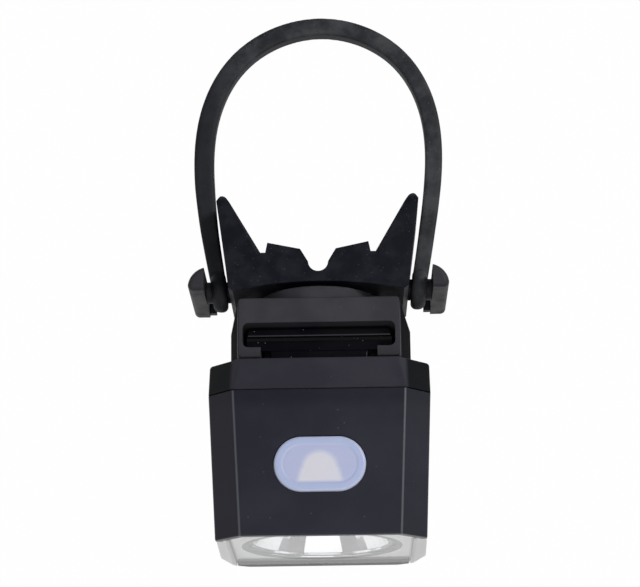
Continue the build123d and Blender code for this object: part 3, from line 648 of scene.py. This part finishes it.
BRACKET = MouldedFinish(
    "bracket_black", (0.004, 0.005, 0.009), (0.010, 0.011, 0.016), (0.48, 0.6), 0.28, 0.02,
    patch_size=4.0, dust_and_glint_share=0.10, dust_and_glint_size=0.45, dust_and_glint_colour=(0.05, 0.052, 0.06),
    specular=0.1, side=(20.5, 23.0), side_dust_and_shade_colour=(0.032, 0.032, 0.037),
)
# The receiver's darker sides are painted shade.
RECEIVER = MouldedFinish(
    "receiver_black", (0.037, 0.037, 0.043), (0.048, 0.048, 0.054), (0.5, 0.6), 0.2, 0.006,
    specular=0.03, dust_and_glint_share=0.03, dust_and_glint_colour=(0.07, 0.07, 0.08),
    side=(16.0, 16.5), side_dust_and_shade_colour=(0.004, 0.004, 0.006), side_roughness=1.0,
)
# The cover's near-black bevels at the sides are painted shade.
COVER = MouldedFinish(
    "cover_black", (0.032, 0.031, 0.041), (0.040, 0.039, 0.050), (0.45, 0.52), 0.18, 0.005,
    patch_size=16.0, dust_and_glint_share=0.02, dust_and_glint_size=0.6,
    specular=0.03, side=(16.9, 17.6), side_dust_and_shade_colour=(0.001, 0.002, 0.003),
)
# The housing's darker band near its rear edge is painted shade.
HOUSING = MouldedFinish(
    "housing_black", (0.013, 0.013, 0.022), (0.017, 0.017, 0.028), (0.36, 0.44), 0.18, 0.005,
    patch_size=16.0, dust_and_glint_share=0.02, dust_and_glint_size=0.6,
    specular=0.2, band=(-50.5, -48.2), band_shade_colour=(0.008, 0.008, 0.016),
    # The pale ridge lines are painted highlights along the top's side edges.
    ridge=(19.0, 0.04745), ridge_highlight_colour=(0.075, 0.078, 0.088),
)
# The rail's pale specks are painted glints of light on glossy black, standing for the sparkles on
# its rounded corners.
GLOSS_BLACK = MouldedFinish(
    "rail_black", (0.002, 0.002, 0.004), (0.004, 0.004, 0.006), (0.06, 0.14), 0.6, 0.01,
    dust_and_glint_share=0.02, dust_and_glint_size=0.35, dust_and_glint_colour=(0.30, 0.31, 0.34), specular=0.2,
)
STRAP = MouldedFinish(
    "strap_rubber", (0.008, 0.009, 0.012), (0.046, 0.048, 0.052), (0.62, 0.8), 0.3, 0.012,
    patch_size=7.0, patch_range=(0.38, 0.66), dust_and_glint_share=0.08,
    dust_and_glint_colour=(0.085, 0.088, 0.092), specular=0.3,
    fade=(-23.5, -13.0), fade_colour=(0.004, 0.005, 0.008),
)
SEAL = MouldedFinish(
    "seal_rubber", (0.010, 0.010, 0.012), (0.02, 0.02, 0.022), (0.6, 0.75), 0.25, 0.006,
    dust_and_glint_share=0.12, dust_and_glint_size=0.3, dust_and_glint_colour=(0.35, 0.36, 0.38),
)
FOAM = MouldedFinish(
    "battery_foam", (0.03, 0.03, 0.033), (0.045, 0.045, 0.05), (0.85, 0.95), 0.4, 0.06,
)
CIRCUIT = MouldedFinish(
    "circuit_green", (0.015, 0.12, 0.05), (0.02, 0.16, 0.065), (0.3, 0.4), 0.3, 0.002,
)
CHIP = MouldedFinish(
    "chip_black", (0.012, 0.012, 0.013), (0.02, 0.02, 0.02), (0.4, 0.55), 0.2, 0.004,
)
LEAD = MouldedFinish(
    "lead_red", (0.30, 0.015, 0.012), (0.36, 0.02, 0.015), (0.4, 0.5), 0.3, 0.002,
)
PHOSPHOR = MouldedFinish(
    "led_yellow", (0.75, 0.62, 0.16), (0.85, 0.72, 0.2), (0.2, 0.3), 0.2, 0.002, coat=0.5,
)
DIFFUSER = MouldedFinish(
    "diffuser_milk", (0.75, 0.78, 0.82), (0.8, 0.82, 0.86), (0.25, 0.35), 0.3, 0.002,
)
STEEL = EvenFinish("plated_steel", (0.56, 0.57, 0.58), (0.25, 0.38))
BRASS = EvenFinish("turned_brass", (0.72, 0.50, 0.20), (0.22, 0.35))
ALUMINIUM = EvenFinish("bare_aluminium", (0.75, 0.76, 0.78), (0.3, 0.45))
FOIL = EvenFinish("pouch_foil", (0.68, 0.69, 0.72), (0.25, 0.5), 250.0)
CHROME = EvenFinish("bright_coating", (0.90, 0.90, 0.92), (0.04, 0.09))
CLEAR = EvenFinish(
    "clear_lens", (0.93, 0.935, 0.94), (0.0, 0.03), 120.0, (0.2, 0.8),
    metal=0.0, clear=1.0, ior=1.15,
)
FRAME = FrameFinish("lens_frame", (0.50, 0.50, 0.50), (0.60, 0.60, 0.60), (0.10, 0.10, 0.10))
WINDOW = MouldedFinish(
    "window_frost", (0.44, 0.44, 0.44), (0.52, 0.52, 0.52), (0.35, 0.5), 0.3, 0.004,
)
# A dark ring of painted shade for the groove round the bowl's rim, black at the bottom and greyer
# at the sides.
GROOVE_SHADE = MouldedFinish(
    "groove_painted_shade", (0.004, 0.003, 0.002), (0.008, 0.006, 0.005), (0.5, 0.6), 0.3, 0.002,
    specular=0.0, side=(7.5, 14.0), side_dust_and_shade_colour=(0.10, 0.10, 0.11),
)
# The bowl's tints, darker specks, throat and glow are painted reflections and light.
BOWL = BowlFinish(
    "bowl_coating", (0.93, 0.93, 0.94), (0.30, 0.29, 0.36), (0.42, 0.22, 0.24), (0.90, 0.80, 0.58)
)
SILICONE = ButtonFinish(
    "button_silicone", (0.39, 0.45, 0.65), (0.43, 0.455, 0.64), (0.62, 0.62, 0.68),
    (0.55, 0.58, 0.70), (0.0, -61.2),
)

NODE_FINISHES = {
    BRACKET: ["cradle"],
    RECEIVER: ["receiver"],
    GLOSS_BLACK: ["slide_rail"],
    COVER: ["rear_cover"],
    HOUSING: ["main_housing"],
    SEAL: ["rear_gasket", "lens_gasket", "port_cover"],
    STEEL: [
        "swivel_screw", "swivel_washer", "rail_screws", "cover_screws",
        "heat_sink_screws", "board_screws", "charge_port",
    ],
    BRASS: ["swivel_insert"],
    CHROME: ["reflector"],
    CLEAR: ["front_lens"],
    ALUMINIUM: ["led_board", "heat_sink"],
    FOIL: ["battery_cell"],
    FOAM: ["battery_pads"],
    CIRCUIT: ["main_board", "charge_board"],
    CHIP: ["driver_parts", "tact_switch", "switch_plunger"],
    LEAD: ["charge_leads", "led_leads", "battery_leads"],
    PHOSPHOR: ["led_emitter"],
    DIFFUSER: ["status_lights"],
    SILICONE: ["button"],
}


def loose_object(name: str, shape: BMesh) -> bpy.types.Object:
    """Makes an object of a shape, and links it to the scene.

    Args:
        name: Name of the object and of its mesh.
        shape: Shape, which is used up.

    Returns:
        The object.
    """
    mesh = bpy.data.meshes.new(name)
    shape.to_mesh(mesh)
    shape.free()
    made = bpy.data.objects.new(name, mesh)
    bpy.context.scene.collection.objects.link(made)
    return made


def applied_shape(source: bpy.types.Object, *helpers: bpy.types.Object) -> BMesh:
    """Takes the shape of an object with its modifiers applied.

    Args:
        source: Object, which is used up.
        helpers: Objects that its modifiers need, used up as well.

    Returns:
        The shape.
    """
    bpy.context.view_layer.update()
    graph = bpy.context.evaluated_depsgraph_get()
    shape = bmesh.new()
    shape.from_mesh(bpy.data.meshes.new_from_object(source.evaluated_get(graph)))
    for used in (source, *helpers):
        bpy.data.objects.remove(used)
    return shape


def finish_piece(
    name: str,
    shape: BMesh,
    material: bpy.types.Material,
    body: Body,
    smooth_degrees: float,
    replaces: tuple[str, ...] = (),
) -> None:
    """Turns a shape in millimetres into a dressed piece that rides on a body.

    Args:
        name: Name of the piece.
        shape: Shape in millimetres, in the frame of the part.
        material: Material of the piece.
        body: Body that the piece rides on.
        smooth_degrees: Edges sharper than this stay sharp.
        replaces: CAD nodes that the piece stands for.
    """
    bmesh.ops.scale(shape, vec=(MM, MM, MM), verts=shape.verts)
    bmesh.ops.recalc_face_normals(shape, faces=shape.faces)
    piece = loose_object(name, shape)
    mesh = piece.data
    mesh.shade_smooth()
    mesh.set_sharp_from_angle(angle=math.radians(smooth_degrees))
    mesh.materials.append(material)
    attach(piece, body.value)
    if replaces:
        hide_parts(*replaces)
    log.info("piece %s: %d faces on %s", name, len(mesh.polygons), body.value)


def spun_shape(points: list[Pair], closed: bool, sides: int, height: float) -> BMesh:
    """Spins points about an axis along Y.

    Args:
        points: Radius and place in front of the origin of each point.
        closed: Whether the last point is joined to the first.
        sides: Number of sides.
        height: Height of the axis.

    Returns:
        The shape.
    """
    shape = bmesh.new()
    verts = [shape.verts.new((radius, -at, 0)) for radius, at in points]
    pairs = list(zip(verts, verts[1:]))
    if closed:
        pairs.append((verts[-1], verts[0]))
    bmesh.ops.spin(
        shape,
        geom=verts + [shape.edges.new(pair) for pair in pairs],
        cent=(0, 0, 0),
        axis=(0, 1, 0),
        dvec=(0, 0, 0),
        angle=2 * math.pi,
        steps=sides,
        use_merge=True,
        use_duplicate=False,
    )
    bmesh.ops.translate(shape, vec=(0, 0, height), verts=shape.verts)
    return shape


def curve_bends(places: list[float], values: list[float]) -> list[float]:
    """Second derivatives of the natural cubic curve through values.

    Args:
        places: Place of each value along the curve, rising.
        values: Values.

    Returns:
        The second derivative at each place.
    """
    count = len(places)
    upper, right = [0.0] * count, [0.0] * count
    for i in range(1, count - 1):
        before, after = places[i] - places[i - 1], places[i + 1] - places[i]
        rise = (values[i + 1] - values[i]) / after - (values[i] - values[i - 1]) / before
        pivot = 2 * (before + after) - before * upper[i - 1]
        upper[i] = after / pivot
        right[i] = (6 * rise - before * right[i - 1]) / pivot
    bends = [0.0] * count
    for i in range(count - 2, 0, -1):
        bends[i] = right[i] - upper[i] * bends[i + 1]
    return bends


def smooth_path(points: list[Vector], steps: int) -> list[Vector]:
    """Natural cubic curve through points.

    Args:
        points: Points that the curve passes.
        steps: Steps between two points.

    Returns:
        The points of the curve, both ends included.
    """
    places = [0.0]
    for before, point in zip(points, points[1:]):
        places.append(places[-1] + (point - before).length)
    bends = [curve_bends(places, [point[axis] for point in points]) for axis in range(3)]
    path = []
    for i in range(len(points) - 1):
        run = places[i + 1] - places[i]
        for step in range(steps):
            share = step / steps
            rest = 1 - share
            bend = Vector([axis[i] for axis in bends]) * (rest**3 - rest)
            bend += Vector([axis[i + 1] for axis in bends]) * (share**3 - share)
            path.append(rest * points[i] + share * points[i + 1] + bend * run**2 / 6)
    return [*path, points[-1]]


@dataclass
class RubberStrap:
    """Rubber strap: an arch, two strands and an eyelet at each end. Sizes are in millimetres."""

    thickness: float = 3.85
    depth: float = 3.4
    corner: float = 0.6
    corner_steps: int = 4
    foot_half: float = 20.7
    foot_at: float = -21.1
    arch_half: float = 24.05
    wide_y: float = 8.0
    apex_y: float = 37.4
    strand_inset: float = 0.45
    shoulder: Pair = (0.95, 0.357)
    crown: Pair = (0.682, 0.765)
    steps: int = 30
    shear: float = 0.0175
    shear_from: float = -8.0
    left_swell: float = 0.14
    foot_share: float = 0.8
    foot_inset: float = 0.3
    taper_reach: float = 23.0
    eyelet_radius: float = 4.1
    eyelet_width: float = 3.1
    eyelet_round: float = 1.3
    eyelet_steps: int = 5
    eyelet_sides: int = 64
    rim_slack: float = 1e-4
    hole_radius: float = 2.45
    hole_length: float = 12.4
    lean: float = 0.1
    lean_from: float = -19.5
    voxel: float = 0.26
    smooth_share: float = 0.5
    smooth_rounds: int = 5
    smooth_degrees: float = 40.0

    def path(self) -> list[Vector]:
        """Middle line of the strap, from the left foot over the top to the right foot.

        Returns:
            The points of the line.
        """
        half = [
            Vector((self.foot_half - self.foot_inset, self.foot_at, 0)),
            Vector((self.arch_half - self.strand_inset, 0, 0)),
            Vector((self.arch_half, self.wide_y, 0)),
        ]
        rise = self.apex_y - self.wide_y
        for across, up in (self.shoulder, self.crown):
            half.append(Vector((self.arch_half * across, self.wide_y + rise * up, 0)))
        left = [Vector((-point.x, point.y, 0)) for point in half]
        return smooth_path([*left, Vector((0, self.apex_y, 0)), *reversed(half)], self.steps)

    def width_at(self, point: Vector) -> float:
        """Width of the strap, which narrows towards both feet and to the right.

        Args:
            point: Point of its middle line.

        Returns:
            The width as a share of the section.
        """
        upper = min(1.0, max(0.0, (point.y - self.foot_at) / self.taper_reach))
        wide = 1 - self.left_swell / 2 * point.x / self.arch_half
        return self.foot_share + (wide - self.foot_share) * upper

    def profile(self, shape: BMesh) -> list[BMEdge]:
        """Adds the strap's rounded section as a ring of edges round the origin.

        Args:
            shape: Shape that gets the ring.

        Returns:
            The ring's edges.
        """
        made = bmesh.ops.create_grid(shape, x_segments=1, y_segments=1, size=0.5)
        verts = made["verts"]
        bmesh.ops.scale(shape, vec=(self.thickness, self.depth, 1), verts=verts)
        bmesh.ops.bevel(
            shape,
            geom=verts,
            offset=self.corner,
            affect="VERTICES",
            segments=self.corner_steps,
            profile=0.5,
            material=-1,
        )
        bmesh.ops.delete(shape, geom=list(shape.faces), context="FACES_ONLY")
        turn = Matrix.Rotation(QUARTER, 4, "X")
        bmesh.ops.transform(shape, matrix=turn, verts=shape.verts)
        return list(shape.edges)

    def sweep(self, shape: BMesh) -> None:
        """Draws the section along the middle line, and closes both ends.

        Args:
            shape: Empty shape that gets the swept body.
        """
        ring = self.profile(shape)
        points = self.path()
        place, heading, width = Vector((0, 0, 0)), QUARTER, 1.0
        for index, point in enumerate(points):
            run = points[min(index + 1, len(points) - 1)] - points[max(index - 1, 0)]
            if index:
                made = bmesh.ops.extrude_edge_only(shape, edges=ring)["geom"]
                fresh = {v for v in made if isinstance(v, BMVert)}
                edges = [e for e in made if isinstance(e, BMEdge)]
                ring = [e for e in edges if all(v in fresh for v in e.verts)]
            verts = list({v for e in ring for v in e.verts})
            bmesh.ops.translate(shape, vec=point - place, verts=verts)
            turned = math.atan2(run.y, run.x)
            turn = Matrix.Rotation(turned - heading, 3, "Z")
            bmesh.ops.rotate(shape, cent=point, matrix=turn, verts=verts)
            wide = self.width_at(point)
            for vert in verts:
                off = vert.co - point
                vert.co.x = point.x + off.x * wide / width
                vert.co.y = point.y + off.y * wide / width
            place, heading, width = point, turned, wide
        bmesh.ops.holes_fill(shape, edges=list(shape.edges))

    def add_drum(self, shape: BMesh, side: int, radius: float, length: float) -> list[BMVert]:
        """Adds a cylinder along X at one end of the strap.

        Args:
            shape: Shape that gets the cylinder.
            side: -1 for the left end, 1 for the right end.
            radius: Radius.
            length: Length along X.

        Returns:
            The new vertices.
        """
        centre = Vector((side * self.foot_half, self.foot_at, 0))
        made = bmesh.ops.create_cone(
            shape,
            cap_ends=True,
            segments=self.eyelet_sides,
            radius1=radius,
            radius2=radius,
            depth=length,
            matrix=Matrix.Translation(centre) @ Matrix.Rotation(QUARTER, 4, "Y"),
        )
        return made["verts"]

    def build(self) -> BMesh:
        """Builds the strap as closed bodies that a remesh joins later.

        Returns:
            The shape.
        """
        shape = bmesh.new()
        self.sweep(shape)
        for side in (-1, 1):
            verts = self.add_drum(shape, side, self.eyelet_radius, self.eyelet_width)
            edges = {e for v in verts for e in v.link_edges}
            rims = [e for e in edges if abs(e.verts[0].co.x - e.verts[1].co.x) < self.rim_slack]
            bmesh.ops.bevel(
                shape,
                geom=rims,
                offset=self.eyelet_round,
                affect="EDGES",
                segments=self.eyelet_steps,
                profile=0.5,
                material=-1,
            )
        return shape

    def dress(self, material: bpy.types.Material) -> None:
        """Joins, softens, leans, pierces and dresses the strap.

        Args:
            material: Rubber of the strap.
        """
        shape = self.build()
        bmesh.ops.recalc_face_normals(shape, faces=shape.faces)
        rough = loose_object("strap_helper", shape)
        joined = rough.modifiers.new("join", "REMESH")
        joined.mode = "VOXEL"
        joined.voxel_size = self.voxel
        soft = rough.modifiers.new("soften", "SMOOTH")
        soft.factor = self.smooth_share
        soft.iterations = self.smooth_rounds
        shape = applied_shape(rough)
        for vert in shape.verts:
            forward = max(0.0, self.lean_from - vert.co.y)
            vert.co.x -= math.copysign(self.lean * forward, vert.co.x)
            vert.co.x += self.shear * max(0.0, vert.co.y - self.shear_from)
        body = loose_object("strap_body", shape)
        holes = bmesh.new()
        for side in (-1, 1):
            self.add_drum(holes, side, self.hole_radius, self.hole_length)
        cutter = loose_object("strap_holes", holes)
        cut = body.modifiers.new("holes", "BOOLEAN")
        cut.operation = "DIFFERENCE"
        cut.solver = "EXACT"
        cut.object = cutter
        shape = applied_shape(body, cutter)
        finish_piece(
            "strap_band", shape, material, Body.BAND,
            self.smooth_degrees, ("strap",),
        )


@dataclass
class Optics:
    """Bowl, a dark ring of painted shade on its flange, and the milky plate and cores of the lens.
    Sizes in millimetres.
    """

    beam_height: float = 1.2
    bowl_radius: float = 14.1
    bowl_inset: float = 0.15
    bowl_forward: float = 0.1
    throat_radius: float = 2.8
    throat_at: float = 60.425
    rim_at: float = 71.325
    facet_sides: int = 44
    facet_rings: int = 9
    ring_sides: int = 96
    ring_slack: float = 0.016
    shade_ring_inner: float = 14.7
    shade_ring_outer: float = 15.95
    shade_ring_rear_at: float = 72.20
    shade_ring_front_at: float = 72.46
    frame_corners: tuple[Pair, ...] = (
        (14.8, 17.35),
        (18.8, 13.35),
        (19.35, -14.15),
        (17.3, -15.6),
    )
    window_corners: tuple[Pair, ...] = (
        (17.85, 12.4),
        (20.35, 12.4),
        (20.45, 9.1),
        (20.9, -14.95),
        (17.85, -17.15),
    )
    window_rear_at: float = 72.65
    window_front_at: float = 74.80
    window_bevel_from: float = 18.6
    window_bevel_slope: float = 0.5

    def bowl_shape(self) -> BMesh:
        """Faceted bowl just inside the solid one, from its throat to its rim.

        Returns:
            The shape.
        """
        narrow, wide = self.throat_radius**2, self.bowl_radius**2
        depth = self.rim_at - self.throat_at
        points = []
        for ring in range(self.facet_rings + 1):
            share = ring / self.facet_rings
            radius = math.sqrt(narrow + (wide - narrow) * share) - self.bowl_inset
            points.append((radius, self.throat_at + self.bowl_forward + depth * share))
        return spun_shape(points, False, self.facet_sides, self.beam_height)

    def groove_shade_shape(self) -> BMesh:
        """Flat dark ring on the bowl's flange, painted shade for the groove round the bowl's rim.

        Returns:
            The shape.
        """
        inner, outer = self.shade_ring_inner, self.shade_ring_outer
        rear, front = self.shade_ring_rear_at, self.shade_ring_front_at
        corners = [(inner, rear), (outer, rear), (outer, front), (inner, front)]
        return spun_shape(corners, True, self.ring_sides, self.beam_height)

    def frame_shape(self) -> BMesh:
        """Thin plate round the painted shade ring, close behind the lens.

        Returns:
            The shape.
        """
        hub = Vector((0, -self.shade_ring_rear_at, self.beam_height))
        shape = bmesh.new()
        place = Matrix.Translation(hub) @ Matrix.Rotation(QUARTER, 4, "X")
        bmesh.ops.create_circle(
            shape, cap_ends=False, radius=self.shade_ring_outer, segments=self.ring_sides, matrix=place
        )
        outline = [Vector((x, hub.y, z)) for x, z in self.frame_corners]
        outline += [Vector((-corner.x, corner.y, corner.z)) for corner in reversed(outline)]
        corners = [shape.verts.new(corner) for corner in outline]
        for index, corner in enumerate(corners):
            shape.edges.new((corners[index - 1], corner))
        bmesh.ops.triangle_fill(shape, use_beauty=True, use_dissolve=False, edges=shape.edges)
        reach = self.shade_ring_outer + self.ring_slack
        inside = [
            face
            for face in shape.faces
            if all((vert.co - hub).length < reach for vert in face.verts)
        ]
        bmesh.ops.delete(shape, geom=inside, context="FACES_ONLY")
        made = bmesh.ops.extrude_face_region(shape, geom=list(shape.faces))["geom"]
        verts = [v for v in made if isinstance(v, BMVert)]
        step = self.shade_ring_rear_at - self.shade_ring_front_at
        bmesh.ops.translate(shape, vec=(0, step, 0), verts=verts)
        return shape

    def window_shape(self) -> BMesh:
        """Frosted core inside each wrapped end of the lens, with a bevelled front.

        Returns:
            The shape.
        """
        shape = bmesh.new()
        for side in (-1, 1):
            rear, front = [], []
            for x, z in self.window_corners:
                bevel = max(0.0, x - self.window_bevel_from) * self.window_bevel_slope
                rear.append(shape.verts.new((side * x, -self.window_rear_at, z)))
                front.append(shape.verts.new((side * x, bevel - self.window_front_at, z)))
            shape.faces.new(rear)
            for index in range(len(rear)):
                shape.faces.new((rear[index - 1], rear[index], front[index], front[index - 1]))
            bmesh.ops.triangulate(shape, faces=[shape.faces.new(front)])
        return shape

    def dress(self, effects: SharedEffects) -> None:
        """Makes the four pieces, which ride on the head.

        Args:
            effects: Shared node groups.
        """
        for name, shape, finish, slot, degrees in (
            ("faceted_bowl", self.bowl_shape(), BOWL, "reflector_chrome", 1.0),
            ("bowl_groove_shade", self.groove_shade_shape(), GROOVE_SHADE, "gloss_black", 35.0),
            ("lens_frame", self.frame_shape(), FRAME, "diffuser", 35.0),
            ("lens_windows", self.window_shape(), WINDOW, "diffuser", 30.0),
        ):
            finish_piece(name, shape, finish.make(effects), Body.HEAD, degrees)


@dataclass(frozen=True)
class Lamp:
    """Square soft lamp. Its place and its side are in metres, its power in watts."""

    name: str
    place: Place
    side: float
    power: float

    def light(self, target: Vector) -> None:
        """Adds the lamp to the scene.

        Args:
            target: Point that it faces.
        """
        data = bpy.data.lights.new(self.name, "AREA")
        data.shape = "SQUARE"
        data.size = self.side
        data.energy = self.power
        lamp = bpy.data.objects.new(self.name, data)
        bpy.context.scene.collection.objects.link(lamp)
        turn = (Vector(self.place) - target).to_track_quat("Z", "Y")
        lamp.matrix_world = Matrix.Translation(self.place) @ turn.to_matrix().to_4x4()


@dataclass
class Studio:
    """Floor, soft lamps, world and camera. Lengths are in metres, the lens in millimetres."""

    floor_height: float = -0.066
    floor_half: float = 3.0
    floor_grey: float = 0.40
    floor_roughness: float = 0.9
    floor_glow: float = 0.99
    ceiling: Colour = (0.12, 0.12, 0.13)
    ceiling_rise: Pair = (-0.02, 0.16)
    front: Colour = (0.22, 0.22, 0.23)
    front_rise: Pair = (-0.7, 0.2)
    left: Colour = (0.14, 0.15, 0.16)
    right: Colour = (1.15, 1.16, 1.18)
    side_rise: Pair = (-0.5, 0.5)
    lamps: tuple[Lamp, ...] = (
        Lamp("key", (0.36, 0.20, 0.44), 0.14, 2.0),
        Lamp("ceiling", (0.08, -0.17, 0.52), 0.40, 1.0),
        Lamp("front", (0.0, -0.50, 0.30), 0.46, 0.80),
        Lamp("fill", (-0.42, -0.15, 0.35), 0.40, 0.5),
    )
    lamp_target: Place = (0.0, -0.03, 0.0)
    target: Place = (0.00033, -0.0251, 0.012)
    distance: float = 0.42
    tilt_degrees: float = 16.4
    side_degrees: float = 0.8
    roll_degrees: float = -0.7
    lens: float = 118.125
    sensor: float = 36.0

    def build_world(self) -> None:
        """A pale studio, bright on the right, with a dim ceiling and a dim front."""
        world = bpy.data.worlds.new("studio")
        bpy.context.scene.world = world
        world.use_nodes = True
        kit = NodeKit(world.node_tree)
        facing = kit.add("ShaderNodeTexCoord", {}).outputs["Generated"]
        split = kit.add("ShaderNodeSeparateXYZ", {0: facing}).outputs
        side = kit.spread(split["X"], self.side_rise)
        behind = kit.spread(split["Y"], self.front_rise)
        height = kit.spread(split["Z"], self.ceiling_rise)
        horizon = kit.mix(behind, self.front, kit.mix(side, self.left, self.right))
        colour = kit.mix(height, horizon, self.ceiling)
        kit.feed(kit.tree.nodes["Background"], {"Color": colour, "Strength": 1.0})

    def build_floor(self) -> None:
        """A plain floor that shows white, and keeps a part of the shadow."""
        shape = bmesh.new()
        bmesh.ops.create_grid(shape, x_segments=1, y_segments=1, size=self.floor_half)
        bmesh.ops.translate(shape, vec=(0, 0, self.floor_height), verts=shape.verts)
        floor = loose_object("floor", shape)
        material = bpy.data.materials.new("floor_white")
        material.use_nodes = True
        kit = NodeKit(material.node_tree)
        finish = {
            "Base Color": (self.floor_grey,) * 3,
            "Roughness": self.floor_roughness,
            "Specular IOR Level": 0.0,
        }
        dull = kit.feed(kit.shader, finish)
        glow = kit.add("ShaderNodeEmission", {"Color": (1.0, 1.0, 1.0)})
        path = kit.add("ShaderNodeLightPath", {}).outputs
        seen = kit.join("MAXIMUM", path["Is Camera Ray"], path["Is Glossy Ray"])
        seen = kit.join("MAXIMUM", seen, path["Is Transmission Ray"])
        share = kit.join("MULTIPLY", seen, self.floor_glow)
        surfaces = {"Fac": share, 1: dull.outputs[0], 2: glow.outputs[0]}
        mixed = kit.add("ShaderNodeMixShader", surfaces)
        kit.feed(kit.tree.nodes["Material Output"], {"Surface": mixed.outputs[0]})
        floor.data.materials.append(material)

    def build_camera(self) -> None:
        """The camera at the photograph's angle."""
        data = bpy.data.cameras.new("camera")
        data.sensor_width = self.sensor
        data.lens = self.lens
        camera = bpy.data.objects.new("camera", data)
        bpy.context.scene.collection.objects.link(camera)
        aside = Matrix.Rotation(math.radians(self.side_degrees), 4, "Y")
        tilt = Matrix.Rotation(math.radians(self.tilt_degrees), 4, "X")
        roll = Matrix.Rotation(math.radians(self.roll_degrees), 4, "Z")
        place = Vector(self.target) + (aside @ tilt @ Vector((0.0, 0.0, self.distance)))
        camera.matrix_world = Matrix.Translation(place) @ aside @ tilt @ roll
        bpy.context.scene.camera = camera

    def build(self) -> None:
        """Builds the whole studio."""
        self.build_world()
        self.build_floor()
        for lamp in self.lamps:
            lamp.light(Vector(self.lamp_target))
        self.build_camera()
        bpy.context.scene.view_settings.view_transform = "Standard"


def dress_nodes(effects: SharedEffects) -> None:
    """Gives every CAD node its finish.

    Args:
        effects: Shared node groups.
    """
    for finish, nodes in NODE_FINISHES.items():
        material = finish.make(effects)
        for node in nodes:
            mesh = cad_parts[node].data
            mesh.materials.clear()
            mesh.materials.append(material)
            log.info("node %s: %s", node, finish.name)


def main() -> None:
    """Builds the light's looks and the studio."""
    logging.basicConfig(level=logging.INFO, format="%(name)s %(message)s")
    effects = SharedEffects()
    dress_nodes(effects)
    RubberStrap().dress(STRAP.make(effects))
    Optics().dress(effects)
    Studio().build()


if __name__ == "__main__":
    main()
